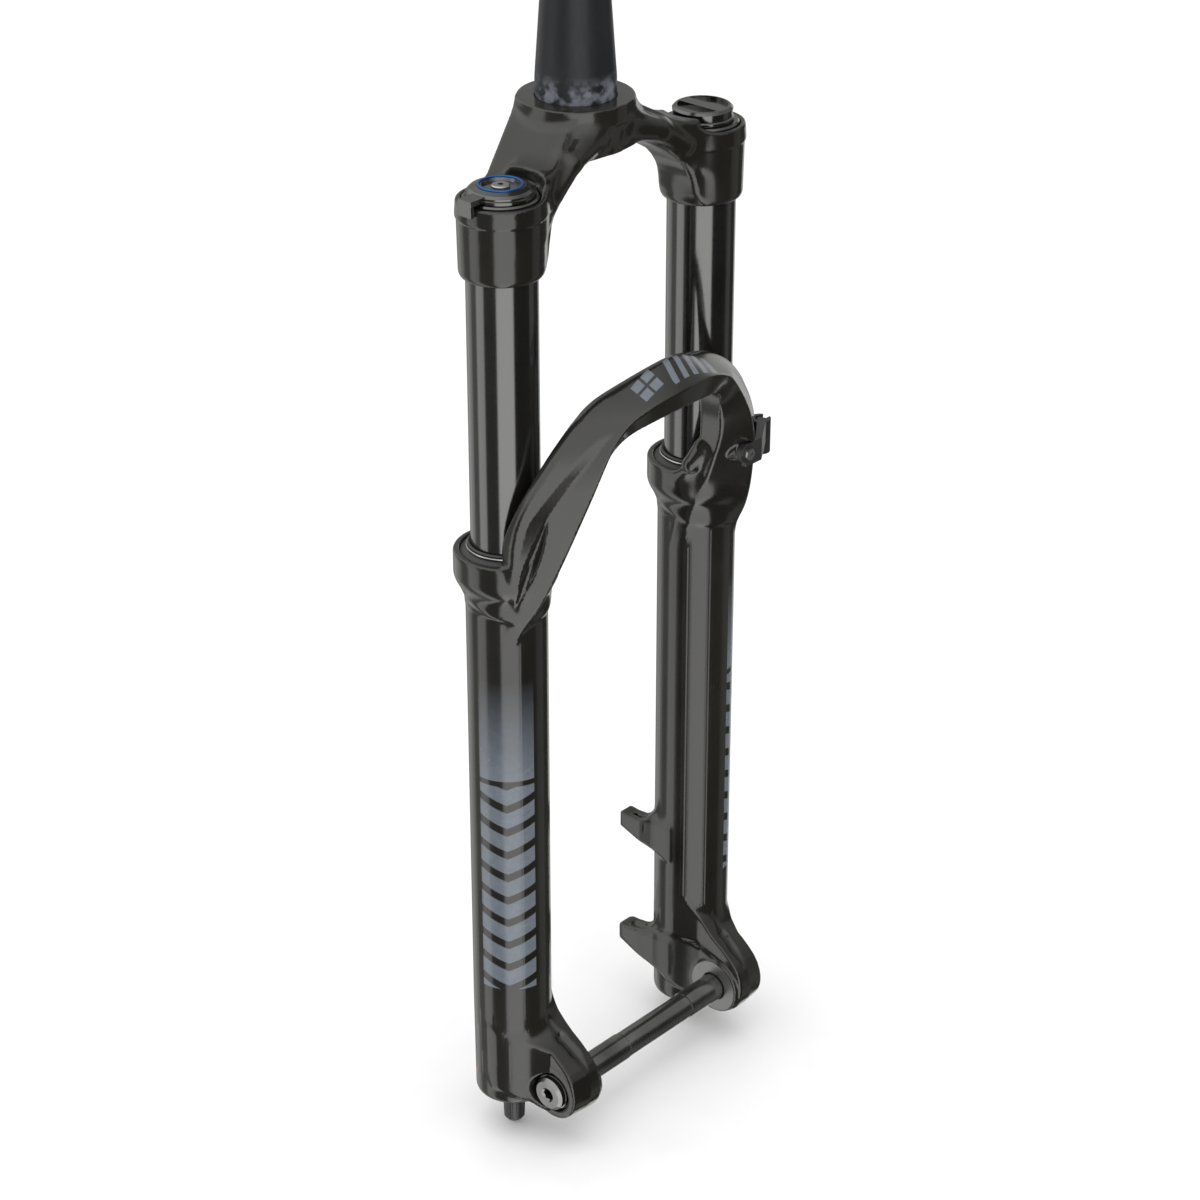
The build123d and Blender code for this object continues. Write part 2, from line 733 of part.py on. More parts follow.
def make_lower_casting():
    casting = make_arch()
    for side in SIDES.values():
        casting += leg_outside(side)
        casting += dropout(side)
    for z in (UPPER_POST_Z, UPPER_POST_Z - POST_SPACING):
        casting += brake_post(z)
    boss = Rot(0, 90, 0) * disc(GUIDE_BOSS_R, GUIDE_X - 14, GUIDE_X)
    casting += Pos(0, GUIDE_SCREW_Y, GUIDE_SCREW_Z) * boss
    seat_height = BRIDGE_TOP - BRIDGE_BOTTOM + 4 * CLIP_GAP
    low_corner = (Align.MIN, Align.MIN, Align.CENTER)
    seat = Pos(GUIDE_X, GUIDE_SCREW_Y - 8, (BRIDGE_TOP + BRIDGE_BOTTOM) / 2)
    casting -= seat * Box(12, 16, seat_height, align=low_corner)
    barrel_space = HOSE_R + BARREL_WALL + 2 * CLIP_GAP
    casting -= disc(barrel_space, GUIDE_BOTTOM - 2 * CLIP_GAP, GUIDE_TOP + 2 * CLIP_GAP, HOSE_X, HOSE_Y)
    casting -= clip_bridge(CLIP_GAP)
    for side in SIDES.values():
        casting -= leg_bore(side)
    hole = AXLE_R + RUN_GAP
    casting -= along_y(disc(hole, -90, 90), AXLE_OFFSET, -AXLE_TO_CROWN)
    casting -= along_y(disc(HEAD_POCKET_R, -90, HEAD_POCKET_Y), AXLE_OFFSET, -AXLE_TO_CROWN)
    for z in (UPPER_POST_Z, UPPER_POST_Z - POST_SPACING):
        drill = Pos(POST_FACE_X - 1, POST_Y, z) * Rot(0, 90, 0) * disc(POST_HOLE_R, 0, POST_HOLE_DEPTH)
        casting -= drill
    screw_hole = Rot(0, 90, 0) * disc(1.6, GUIDE_X - 9, GUIDE_X + 1)
    casting -= Pos(0, GUIDE_SCREW_Y, GUIDE_SCREW_Z) * screw_hole
    return casting


# ---------------------------------------------------------------- pieces in the legs
def make_bushing(name, side):
    top = BUSHING_TOPS[name]
    return ring(LEG_BORE_R - 0.02, TUBE_R + RUN_GAP, top - BUSHING_LENGTH, top, LEG_X, leg_y(side))


def make_foam_ring(side):
    return ring(FOAM_POCKET_R - 0.1, TUBE_R + RUN_GAP, FOAM_POCKET_END + 0.3, COLLAR_TOP - 8.3,
                LEG_X, leg_y(side))


def make_wiper(side):
    """Dust wiper: a body pressed into the collar, a raised lip and a garter spring's groove."""
    lip = TUBE_R + RUN_GAP
    z = COLLAR_TOP
    return turned([
        (lip + 1.4, z - 7.8),
        (SEAL_POCKET_R - FIT_GAP, z - 7.8),
        (SEAL_POCKET_R - FIT_GAP, z - 1.4),
        (SEAL_POCKET_R - 0.8, z - 0.8),
        (lip + 4.2, z - 0.8),
        (lip + 2.6, z + 0.2),
        (lip + 1.2, z + 1.0),
        (lip + 1.2, z + 2.4),
        (lip + 1.7, z + 3.0),
        (lip + 0.9, z + 3.7),
        (lip, z + 3.2),
        (lip, z + 1.0),
        (lip + 0.8, z - 1.0),
        (lip + 0.8, z - 5.0),
    ], LEG_X, leg_y(side))


def make_garter(side):
    return torus_ring(TUBE_R + RUN_GAP + 1.85, 0.55, COLLAR_TOP + 1.75, LEG_X, leg_y(side))


def make_foot_bolt(side):
    """Bolt up into the shaft's foot; the right one is hollow for the adjuster rod."""
    x, y = LEG_X, leg_y(side)
    head_top = bolt_seat(side) - WASHER_HEIGHT - 0.1
    bolt = disc(BOLT_R, head_top - 1, LEG_FLOOR + 13, x, y)
    bolt += turned([
        (0, head_top - 6.5),
        (6.6, head_top - 6.5),
        (7.2, head_top - 5.9),
        (7.2, head_top),
        (0, head_top),
    ], x, y)
    bolt -= hexagon(HEX_5, head_top - 7, head_top - 3.0, x, y)
    if side == RIGHT:
        bolt -= disc(ADJUSTER_R + RUN_GAP, head_top - 8, LEG_FLOOR + 16, x, y)
    return bolt


def make_crush_washer(side):
    seat = bolt_seat(side)
    return ring(8.6, BOLT_R + 0.1, seat - WASHER_HEIGHT - 0.05, seat - 0.05, LEG_X, leg_y(side))


def make_rebound_knob():
    """Fluted push-on knob under the right leg."""
    y = leg_y(RIGHT)
    top = bolt_seat(RIGHT) - WASHER_HEIGHT - 7.0
    knob = turned([
        (0, REBOUND_KNOB_BOTTOM),
        (REBOUND_KNOB_R - 1.6, REBOUND_KNOB_BOTTOM),
        (REBOUND_KNOB_R - 0.4, REBOUND_KNOB_BOTTOM + 1.6),
        (REBOUND_KNOB_R, top - 3),
        (REBOUND_KNOB_R, top),
        (0, top),
    ], LEG_X, y)
    flutes = 12
    for i in range(flutes):
        angle = 2 * math.pi * i / flutes
        fx = LEG_X + (REBOUND_KNOB_R + 0.35) * math.cos(angle)
        fy = y + (REBOUND_KNOB_R + 0.35) * math.sin(angle)
        knob -= disc(0.8, REBOUND_KNOB_BOTTOM - 1, top - 2.5, fx, fy)
    return knob - disc(ADJUSTER_R + FIT_GAP, REBOUND_KNOB_BOTTOM + 6, top + 1, LEG_X, y)


def make_rebound_rod():
    return disc(ADJUSTER_R, REBOUND_KNOB_BOTTOM + 6.1, PISTON_Z + 15, LEG_X, leg_y(RIGHT))


# ---------------------------------------------------------------- axle and hose guide
def make_axle():
    """Hollow bolt-through axle with a hexagonal socket in its head and a threaded far end."""
    head_outer = HEAD_POCKET_Y - 6.4
    profile = [
        (AXLE_BORE_R, head_outer),
        (AXLE_HEAD_R - 1.6, head_outer),
        (AXLE_HEAD_R, head_outer + 1.6),
        (AXLE_HEAD_R, HEAD_POCKET_Y - 2.1),
        (AXLE_R, HEAD_POCKET_Y - 2.1),
        (AXLE_R, AXLE_WAIST[0] - 0.9),
        (AXLE_R - 0.6, AXLE_WAIST[0] - 0.9),
        (AXLE_R - 0.6, AXLE_WAIST[0]),
        (AXLE_WAIST_R, AXLE_WAIST[0]),
        (AXLE_WAIST_R, AXLE_WAIST[1]),
        (AXLE_R - 0.6, AXLE_WAIST[1]),
        (AXLE_R - 0.6, AXLE_WAIST[1] + 0.9),
        (AXLE_R, AXLE_WAIST[1] + 0.9),
        (AXLE_R, HUB_WIDTH / 2 + 2.5),
    ]
    pitch = 1.5
    turns = 11
    start = HUB_WIDTH / 2 + 3
    for i in range(turns):
        y = start + i * pitch
        profile += [(AXLE_R - 0.75, y + 0.1), (AXLE_R - 0.05, y + 0.75)]
    profile += [
        (AXLE_R - 0.8, AXLE_END_Y - 0.6),
        (AXLE_R - 1.6, AXLE_END_Y),
        (AXLE_BORE_R, AXLE_END_Y),
    ]
    axle = turned(profile)
    plug = disc(AXLE_BORE_R + 0.2, head_outer, head_outer + 11)
    plug -= hexagon(HEX_6, head_outer - 1, head_outer + 7)
    plug -= turned([(0, head_outer - 1), (5.1, head_outer - 1), (3.0, head_outer + 1.2), (0, head_outer + 1.2)])
    return along_y(axle + plug, AXLE_OFFSET, -AXLE_TO_CROWN)


def make_axle_washer():
    washer = turned([
        (AXLE_R + RUN_GAP, HEAD_POCKET_Y - 2.0),
        (AXLE_HEAD_R + 0.4, HEAD_POCKET_Y - 2.0),
        (AXLE_HEAD_R + 0.9, HEAD_POCKET_Y - 0.1),
        (AXLE_R + RUN_GAP, HEAD_POCKET_Y - 0.1),
    ])
    return along_y(washer, AXLE_OFFSET, -AXLE_TO_CROWN)


def clip_bridge(margin=0.0):
    """Bent plate from the screw's eye round the ridge to the hose channel."""
    outline = [
        (GUIDE_X + CLIP_GAP - margin, GUIDE_SCREW_Y - 1),
        (GUIDE_X + CLIP_GAP - margin, GUIDE_SCREW_Y + 9.8),
        (HOSE_X + 2.4 - margin, HOSE_Y - 5.6),
        (HOSE_X + 1.4 - margin, HOSE_Y - 3.2),
        (HOSE_X + 5.4, HOSE_Y - 1.6),
        (GUIDE_X + CLIP_GAP + PLATE, GUIDE_SCREW_Y + 11.4),
        (GUIDE_X + CLIP_GAP + PLATE, GUIDE_SCREW_Y - 1),
    ]
    return plan_plate(outline, BRIDGE_BOTTOM - margin, BRIDGE_TOP + margin)


def make_hose_clip():
    """Clip: an eye for its screw, a bent bridge and an open channel for the brake hose."""
    middle = (GUIDE_TOP + GUIDE_BOTTOM) / 2
    height = GUIDE_TOP - GUIDE_BOTTOM
    eye = Rot(0, 90, 0) * disc(GUIDE_BOSS_R, GUIDE_X + CLIP_GAP, GUIDE_X + CLIP_GAP + PLATE)
    clip = clip_bridge() + Pos(0, GUIDE_SCREW_Y, GUIDE_SCREW_Z) * eye
    clip += disc(HOSE_R + BARREL_WALL, GUIDE_BOTTOM, GUIDE_TOP, HOSE_X, HOSE_Y)
    clip -= disc(HOSE_R, GUIDE_BOTTOM - 5, BRIDGE_TOP + 5, HOSE_X, HOSE_Y)
    clip -= Pos(HOSE_X, HOSE_Y + 5, middle) * Box(4.4, 10, height + 10)
    screw_hole = Rot(0, 90, 0) * disc(1.7, GUIDE_X - 5, GUIDE_X + 6)
    return clip - Pos(0, GUIDE_SCREW_Y, GUIDE_SCREW_Z) * screw_hole


def make_hose_screw():
    seat = GUIDE_X + CLIP_GAP + PLATE + 0.1
    head = disc(3.1, seat, seat + 2.2) + disc(1.55, GUIDE_X - 7, seat + 1)
    head -= hexagon(HEX_25, seat + 0.7, seat + 3)
    return Pos(0, GUIDE_SCREW_Y, GUIDE_SCREW_Z) * Rot(0, 90, 0) * head


# ---------------------------------------------------------------- assembly
def make_all():
    pieces["steerer_tube"] = make_steerer()
    pieces["crown"] = make_crown()
    for name, side in SIDES.items():
        pieces["upper_tube_" + name] = make_upper_tube(side)
    pieces["damper_top_cap"] = make_damper_cap()
    pieces["damper_cap_seal"] = cap_seal(RIGHT)
    pieces["compression_tube"] = make_compression_tube()
    pieces["compression_piston"] = make_compression_piston()
    pieces["compression_knob"] = make_compression_knob()
    pieces["compression_ring"] = make_compression_ring()
    pieces["compression_rod"] = make_compression_rod()
    pieces["air_top_cap"] = make_air_cap()
    pieces["air_cap_seal"] = cap_seal(LEFT)
    pieces["valve_core"] = make_valve_core()
    pieces["valve_pin"] = make_valve_pin()
    pieces["valve_cap"] = make_valve_cap()
    pieces["valve_cap_seal"] = make_valve_cap_seal()
    pieces["upper_volume_token"] = make_volume_token(CAP_SEAT - 14.2)
    pieces["lower_volume_token"] = make_volume_token(CAP_SEAT - 28.4)
    pieces["damper_seal_head"] = make_seal_head(RIGHT)
    pieces["air_seal_head"] = make_seal_head(LEFT)
    pieces["damper_snap_ring"] = make_snap_ring(RIGHT)
    pieces["air_snap_ring"] = make_snap_ring(LEFT)
    pieces["damper_shaft"] = make_shaft(RIGHT)
    pieces["air_shaft"] = make_shaft(LEFT)
    pieces["rebound_piston"] = make_rebound_piston()
    pieces["piston_glide_ring"] = piston_band(PISTON_Z + 11, RIGHT, 4.8)
    pieces["air_piston"] = make_air_piston()
    pieces["air_piston_seal"] = make_air_piston_seal()
    pieces["top_out_bumper"] = bumper(LEFT, PISTON_Z + 0.8, 4.1, 9.0)
    pieces["lower_casting"] = make_lower_casting()
    for name, side in SIDES.items():
        pieces["bottom_out_bumper_" + name] = bumper(side, LEG_FLOOR + 10.4, 7.0, 9.0)
        pieces["upper_bushing_" + name] = make_bushing("upper", side)
        pieces["lower_bushing_" + name] = make_bushing("lower", side)
        pieces["foam_ring_" + name] = make_foam_ring(side)
        pieces["wiper_seal_" + name] = make_wiper(side)
        pieces["garter_spring_" + name] = make_garter(side)
        pieces["foot_bolt_" + name] = make_foot_bolt(side)
        pieces["crush_washer_" + name] = make_crush_washer(side)
    pieces["rebound_knob"] = make_rebound_knob()
    pieces["rebound_rod"] = make_rebound_rod()
    pieces["axle"] = make_axle()
    pieces["axle_washer"] = make_axle_washer()
    pieces["hose_guide_clip"] = make_hose_clip()
    pieces["hose_guide_screw"] = make_hose_screw()


make_all()
os.makedirs("parts", exist_ok=True)
for node, solid in pieces.items():
    export_step(solid, f"parts/{node}.step")
print(len(pieces), "pieces written")
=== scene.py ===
import bpy
import json
import math
import numpy as np
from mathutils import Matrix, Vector


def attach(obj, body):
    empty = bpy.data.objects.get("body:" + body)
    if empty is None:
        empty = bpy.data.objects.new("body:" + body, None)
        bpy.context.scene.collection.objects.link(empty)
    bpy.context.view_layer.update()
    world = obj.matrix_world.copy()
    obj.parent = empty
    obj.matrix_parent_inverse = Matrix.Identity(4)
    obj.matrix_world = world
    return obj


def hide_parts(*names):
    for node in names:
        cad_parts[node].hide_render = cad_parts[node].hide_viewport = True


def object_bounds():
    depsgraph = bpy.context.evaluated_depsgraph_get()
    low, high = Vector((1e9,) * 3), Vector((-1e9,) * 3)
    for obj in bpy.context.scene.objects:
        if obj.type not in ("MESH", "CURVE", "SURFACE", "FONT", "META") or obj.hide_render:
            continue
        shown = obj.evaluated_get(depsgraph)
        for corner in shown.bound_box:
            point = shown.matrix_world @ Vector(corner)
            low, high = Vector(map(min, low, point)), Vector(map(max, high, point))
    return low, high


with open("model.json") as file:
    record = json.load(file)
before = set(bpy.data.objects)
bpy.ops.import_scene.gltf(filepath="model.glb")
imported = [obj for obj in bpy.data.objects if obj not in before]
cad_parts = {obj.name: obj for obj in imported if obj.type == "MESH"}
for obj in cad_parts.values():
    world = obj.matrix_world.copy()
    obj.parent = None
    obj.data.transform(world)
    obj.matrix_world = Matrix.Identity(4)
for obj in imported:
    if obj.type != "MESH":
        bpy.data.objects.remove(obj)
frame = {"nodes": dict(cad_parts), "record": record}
cad_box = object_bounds()

# ------------------------------------------------------------------ named sizes, in millimetres
# The origin is the centre of the crown race seat, +X forward, +Y to the rider's left, +Z up.
MM = 0.001
LEG_X = 18.7
LEG_Y = 73.0
AXLE_X = 51.0
AXLE_Z = -521.0
RIGHT = -1
LEFT = 1

TUBE_R = 17.5
LEG_R = 20.6
LEG_FOOT_R = 20.2
LEG_BORE_R = 18.7
LEG_BOTTOMS = {RIGHT: -533.5, LEFT: -543.0}
LEG_FLOOR = -517.0
COLLAR_R = 26.3
COLLAR_TOP = -210.0
SEAL_POCKET_R = 23.0
LUG_R = 15.8
LUG_FACE_Y = 55.0
LUG_OUTER_Y = 77.8
POST_FACE_X = -14.5
POST_Y = 55.0
POST_ZS = (-436.0, -510.0)
GUIDE_X = 57.6
GUIDE_Y = 62.5
GUIDE_Z = -193.5
GUIDE_BOSS_R = 5.2
HOSE_X = 42.0
HOSE_Y = 95.8

PLATFORM_R = 28.8
PLATFORM_DEPTH = 24.0
RACE_SEAT_R = 19.9
SOCKET_TOP = -28.0
SOCKET_BAND = -36.5
SOCKET_BOTTOM = -66.4
CAP_SEAT = -30.0
CAP_POCKET_R = 18.8

# Print on the legs: a band that fades in from BAND_TOP to BAND_SOLID, then rows of chevrons.
BAND_TOP = -276.0
BAND_SOLID = -331.0
BAND_END = -333.0
CHEVRONS_TOP = -336.0
CHEVRONS_END = -459.0
CHEVRON_ROWS = 9


# ------------------------------------------------------------------ distance fields
FAR = 1e9


def smooth_min(a, b, k):
    """Union of two distances with a fillet of about k."""
    h = np.clip(0.5 + 0.5 * (b - a) / k, 0, 1)
    return b + (a - b) * h - k * h * (1 - h)


def smooth_max(a, b, k):
    """Intersection of two distances with a rounded edge of about k."""
    return -smooth_min(-a, -b, k)


def rounded(points, rounds=2):
    """Cuts an outline's corners (Chaikin), so that it becomes a smooth closed curve."""
    pts = np.array(points, float)
    for _ in range(rounds):
        after = np.roll(pts, -1, axis=0)
        pts = np.stack([0.75 * pts + 0.25 * after, 0.25 * pts + 0.75 * after], 1).reshape(-1, 2)
    return pts


def mirrored(half):
    """An outline's half with its mirror image in the first coordinate."""
    return half + [(-a, b) for a, b in reversed(half) if a != 0]


def outline(u, v, points):
    """Signed distance to a closed outline, negative inside."""
    u, v = np.broadcast_arrays(u, v)
    best = np.full(u.shape, FAR, np.float32)
    inside = np.zeros(u.shape, bool)
    ends = np.roll(points, -1, axis=0)
    for (ax, ay), (bx, by) in zip(points, ends):
        ex, ey = bx - ax, by - ay
        wx, wy = u - ax, v - ay
        t = np.clip((wx * ex + wy * ey) / (ex * ex + ey * ey), 0, 1)
        best = np.minimum(best, (wx - ex * t) ** 2 + (wy - ey * t) ** 2)
        if ay != by:
            inside ^= ((ay <= v) != (by <= v)) & (u < ex * (v - ay) / (by - ay) + ax)
    return np.where(inside, -1, 1) * np.sqrt(best)


def slab(v, low, high):
    return np.maximum(low - v, v - high)


def capsule(p, a, b, ra, rb):
    """Rod with round ends whose radius goes from ra to rb."""
    a, b = np.array(a, float), np.array(b, float)
    d = b - a
    t = sum((p[i] - a[i]) * d[i] for i in range(3)) / float(d @ d)
    t = np.clip(t, 0, 1)
    far = sum((p[i] - a[i] - t * d[i]) ** 2 for i in range(3))
    return np.sqrt(far) - (ra + (rb - ra) * t)


def upright(p, x, y):
    """Distance from a vertical axis."""
    return np.sqrt((p[0] - x) ** 2 + (p[1] - y) ** 2)


def crosswise(p, x, z):
    """Distance from an axis that lies along Y."""
    return np.sqrt((p[0] - x) ** 2 + (p[2] - z) ** 2)


class Volume:
    """A sampled distance field that shapes are joined to and cut from."""

    # Distance that a sample has before any shape is joined.
    EMPTY = 50.0
    # How far round a vertex its normal is averaged, in samples.
    NORMAL_REACH = 0.45
    # Vertices are pulled onto the surface a few times, by a limited amount each time.
    PULL_ROUNDS = 2
    PULL_LIMIT = 0.5
    LEAST_SLOPE = 0.5

    def __init__(self, low, high, step):
        self.step = step
        self.axes = [np.arange(a, b + step, step, dtype=np.float32) for a, b in zip(low, high)]
        self.field = np.full([len(a) for a in self.axes], self.EMPTY, np.float32)

    def window(self, box):
        """Spans of samples that cover a box, and their coordinates."""
        spans = []
        for axis, (low, high) in zip(self.axes, zip(*box)):
            i, j = np.searchsorted(axis, [low, high])
            spans.append(slice(max(i - 1, 0), min(j + 1, len(axis))))
        x, y, z = (axis[s] for axis, s in zip(self.axes, spans))
        return tuple(spans), (x[:, None, None], y[None, :, None], z[None, None, :])

    def join(self, shape, box, fillet=0.5):
        spans, p = self.window(box)
        self.field[spans] = smooth_min(self.field[spans], shape(p), fillet)

    def cut(self, shape, box, edge=0.5):
        spans, p = self.window(box)
        self.field[spans] = smooth_max(self.field[spans], -shape(p), edge)

    def sample(self, pts):
        """Field and its gradient at scattered points, between the samples."""
        origin = np.array([a[0] for a in self.axes])
        q = (pts - origin) / self.step
        i = np.clip(np.floor(q).astype(int), 0, np.array(self.field.shape) - 2)
        t = q - i
        corner = {}
        for c in np.ndindex(2, 2, 2):
            corner[c] = self.field[i[:, 0] + c[0], i[:, 1] + c[1], i[:, 2] + c[2]]
        value = np.zeros(len(pts))
        slope = np.zeros((len(pts), 3))
        for c, f in corner.items():
            w = [t[:, n] if c[n] else 1 - t[:, n] for n in range(3)]
            s = [1 if c[n] else -1 for n in range(3)]
            value += f * w[0] * w[1] * w[2]
            slope[:, 0] += f * s[0] * w[1] * w[2]
            slope[:, 1] += f * w[0] * s[1] * w[2]
            slope[:, 2] += f * w[0] * w[1] * s[2]
        return value, slope / self.step

    def normals(self, pts):
        """Directions out of the solid, averaged over about a sample's width."""
        total = np.zeros_like(pts)
        for c in np.ndindex(2, 2, 2):
            corner = np.array(c) * 2 - 1
            total += self.sample(pts + corner * self.NORMAL_REACH * self.step)[1]
        return total / np.maximum(np.linalg.norm(total, axis=1, keepdims=True), 1e-9)

    def surface(self):
        """Vertices, quads and normals of the zero level (surface nets)."""
        f = self.field
        inside = f < 0
        nx, ny, nz = (n - 1 for n in f.shape)
        count = np.zeros((nx, ny, nz), np.int8)
        for a, b, c in np.ndindex(2, 2, 2):
            count += inside[a:nx + a, b:ny + b, c:nz + c]
        cells = np.argwhere((count > 0) & (count < 8))
        index = np.full((nx, ny, nz), -1, np.int64)
        index[tuple(cells.T)] = np.arange(len(cells))
        total = np.zeros((len(cells), 3))
        hits = np.zeros((len(cells), 1))
        for axis in range(3):
            others = [n for n in range(3) if n != axis]
            for u, v in np.ndindex(2, 2):
                start = cells.copy()
                start[:, others[0]] += u
                start[:, others[1]] += v
                stop = start.copy()
                stop[:, axis] += 1
                fa, fb = f[tuple(start.T)], f[tuple(stop.T)]
                crosses = (fa < 0) != (fb < 0)
                t = np.where(crosses, fa / np.where(crosses, fa - fb, 1), 0)
                point = start.astype(float)
                point[:, axis] += t
                total += point * crosses[:, None]
                hits += crosses[:, None]
        origin = np.array([a[0] for a in self.axes])
        pts = total / hits * self.step + origin
        for _ in range(self.PULL_ROUNDS):
            value, slope = self.sample(pts)
            size = np.maximum((slope ** 2).sum(1), self.LEAST_SLOPE ** 2)
            pts -= np.clip(value / size, -self.PULL_LIMIT, self.PULL_LIMIT)[:, None] * slope
        quads = []
        for axis in range(3):
            u, v = [n for n in range(3) if n != axis]
            low = [slice(1, -1)] * 3
            low[axis] = slice(0, -1)
            high = list(low)
            high[axis] = slice(1, None)
            a, b = inside[tuple(low)], inside[tuple(high)]
            edges = np.argwhere(a != b)
            first = a[tuple(edges.T)]
            base = edges + 1
            base[:, axis] -= 1
            ring = []
            for du, dv in ((-1, -1), (0, -1), (0, 0), (-1, 0)):
                cell = base.copy()
                cell[:, u] += du
                cell[:, v] += dv
                ring.append(index[tuple(cell.T)])
            ring = np.stack(ring, 1)
            turn = first if axis != 1 else ~first
            ring[~turn] = ring[~turn][:, ::-1]
            quads.append(ring)
        quads = np.concatenate(quads)
        return pts, quads[(quads >= 0).all(1)], self.normals(pts)


# ------------------------------------------------------------------ the lower casting
# A join or a cut is only worked out inside the box that goes with it, a little larger than its shape.
def side_box(x, wide, z, side):
    """Box from three (low, high) ranges; the second one lies on the given side."""
    low, high = sorted((side * wide[0], side * wide[1]))
    return (x[0], low, z[0]), (x[1], high, z[1])


def above(shape, z):
    """The part of a shape over a height."""
    return lambda p: np.maximum(shape(p), z - p[2])


def below(shape, z):
    """The part of a shape under a height."""
    return lambda p: np.maximum(shape(p), p[2] - z)


def leg_rod(side, radius):
    """Endless rod on one leg's axis, to cut with or to keep a part of."""
    return lambda p: upright(p, LEG_X, side * LEG_Y) - radius


def axle_rod(radius):
    """Endless rod on the axle's line."""
    return lambda p: crosswise(p, AXLE_X, AXLE_Z) - radius


# Stations along the arch, from the middle of its top down to the front of the leg. Each has the
# crease's (y, z, x), then (offset, x) of the outer edge, the inner edge, the inner and the outer
# rear edge; an offset is measured away from the crease in the front view.
ARCH_STATIONS = [
    ((0, -130.0, 77.6), (10.5, 62.6), (-10.0, 77.2), (-9.5, 58), (8.5, 57)),
    ((12, -130.8, 77.0), (8.6, 60.0), (-10.0, 76.4), (-9.5, 56.5), (7.0, 55)),
    ((25, -133.8, 74.4), (6.2, 54.0), (-10.2, 73.0), (-9.8, 53.5), (5.2, 50)),
    ((39, -140.8, 69.6), (8.8, 50.2), (-9.4, 66.4), (-9.8, 50), (7.8, 46)),
    ((47.8, -150, 67.8), (12.8, 50.4), (-10.3, 60.8), (-11.5, 47), (11.8, 45.5)),
    ((54.5, -161, 67.0), (16.5, 49.0), (-11.3, 57.2), (-12.8, 44.5), (15.5, 43.5)),
    ((60, -172, 65.6), (19.0, 46.8), (-13.2, 55.0), (-15.0, 42), (18.0, 41.0)),
    ((64.8, -183, 63.4), (22.0, 44.2), (-15.5, 51.2), (-17.4, 39.5), (21.0, 38.5)),
    ((68.5, -194, 60.6), (23.6, 42.2), (-17.0, 46.4), (-18.8, 34), (22.5, 36)),
    ((72.5, -208, 56.4), (20.8, 40.4), (-19.0, 40.0), (-20.6, 28), (19.8, 29)),
    ((76.5, -222, 51.8), (14.6, 38.4), (-23.0, 32.6), (-24.0, 24), (13.8, 26)),
    ((81, -238, 44.6), (5.0, 38.0), (-28.0, 27.0), (-29.0, 22), (4.4, 24)),
    ((85.4, -260, 29.5), (0.8, 29.0), (-27.0, 24.0), (-27.5, 20), (0.6, 22)),
]
# Rounding of the ribbon's edges, in the order of its faces, and of its foot.
ARCH_EDGES = (1.0, 1.0, 0.9, 1.6, 2.0)
ARCH_FOOT = -268.0
ARCH_FOOT_EDGE = 3.0
# Shallow valley in each arm's outer face: (height, depth, share of the way to the outer edge).
ARM_VALLEY = [
    (-222, 0, 0.52), (-200, 1.4, 0.52), (-185, 2.0, 0.50), (-165, 2.0, 0.34), (-148, 1.2, 0.12),
    (-140, 0, 0.05),
]
VALLEY_REACH = 0.34


def refined(rows, rounds=3):
    """Open Chaikin refinement that keeps the two ends."""
    rows = np.array(rows, float)
    for _ in range(rounds):
        a, b = rows[:-1], rows[1:]
        inner = np.stack([0.75 * a + 0.25 * b, 0.25 * a + 0.75 * b], 1).reshape(-1, rows.shape[1])
        rows = np.concatenate([rows[:1], inner[1:-1], rows[-1:]])
    return rows


def arch_rows():
    """The stations as rows of numbers, refined across the middle plane and started on it."""
    stations = [sum(station, ()) for station in ARCH_STATIONS]
    mirror_image = (-stations[1][0],) + stations[1][1:]
    rows = refined([mirror_image] + stations)
    rows = rows[rows[:, 0] > 0]
    start = rows[:1].copy()
    start[0, 0] = 0
    return np.concatenate([start, rows])


def along_crease(rows, across, up):
    """Place along the crease (in rows) and offset from it, for points of the front view."""
    best = np.full(across.shape, FAR)
    offset = np.zeros(across.shape)
    place = np.zeros(across.shape)
    for i, (a, b) in enumerate(zip(rows[:, :2], rows[1:, :2])):
        e = b - a
        length = float(np.hypot(*e))
        wx, wy = across - a[0], up - a[1]
        t = np.clip((wx * e[0] + wy * e[1]) / length ** 2, 0, 1)
        far = np.hypot(wx - e[0] * t, wy - e[1] * t)
        nearer = far < best
        side = np.sign(e[0] * wy - e[1] * wx)
        best = np.where(nearer, far, best)
        offset = np.where(nearer, side * far, offset)
        place = np.where(nearer, i + t, place)
    return place, offset


def arch(p):
    """Ribbon with five faces that turns from the arch's top into the two arms."""
    x, y, z = p
    rows = arch_rows()
    across, up = np.broadcast_arrays(np.abs(y[0]), z[0])
    place, offset = along_crease(rows, across, up)
    columns = [np.interp(place, np.arange(len(rows)), column) for column in rows.T]
    crease_x, outer, outer_x, inner, inner_x, back_in, back_in_x, back_out, back_out_x = columns[2:]
    corners = [(outer, outer_x), (0, crease_x), (inner, inner_x), (back_in, back_in_x),
               (back_out, back_out_x)]
    heights, depths, shares = zip(*ARM_VALLEY)
    beside = np.abs(offset / np.maximum(outer, 1) - np.interp(up, heights, shares))
    valley = np.interp(up, heights, depths) * np.clip(1 - beside / VALLEY_REACH, 0, 1)
    body = None
    for (na, xa), (nb, xb), edge in zip(corners, corners[1:] + corners[:1], ARCH_EDGES):
        size = np.hypot(nb - na, xb - xa)
        face = ((offset - na) * (xa - xb) + (x - xa) * (nb - na)) / -size
        body = face + valley if body is None else smooth_max(body, face, edge)
    return smooth_max(body, ARCH_FOOT - z, ARCH_FOOT_EDGE)


FOOT_TAPER = 60.0
FOOT_EDGE = 4.0


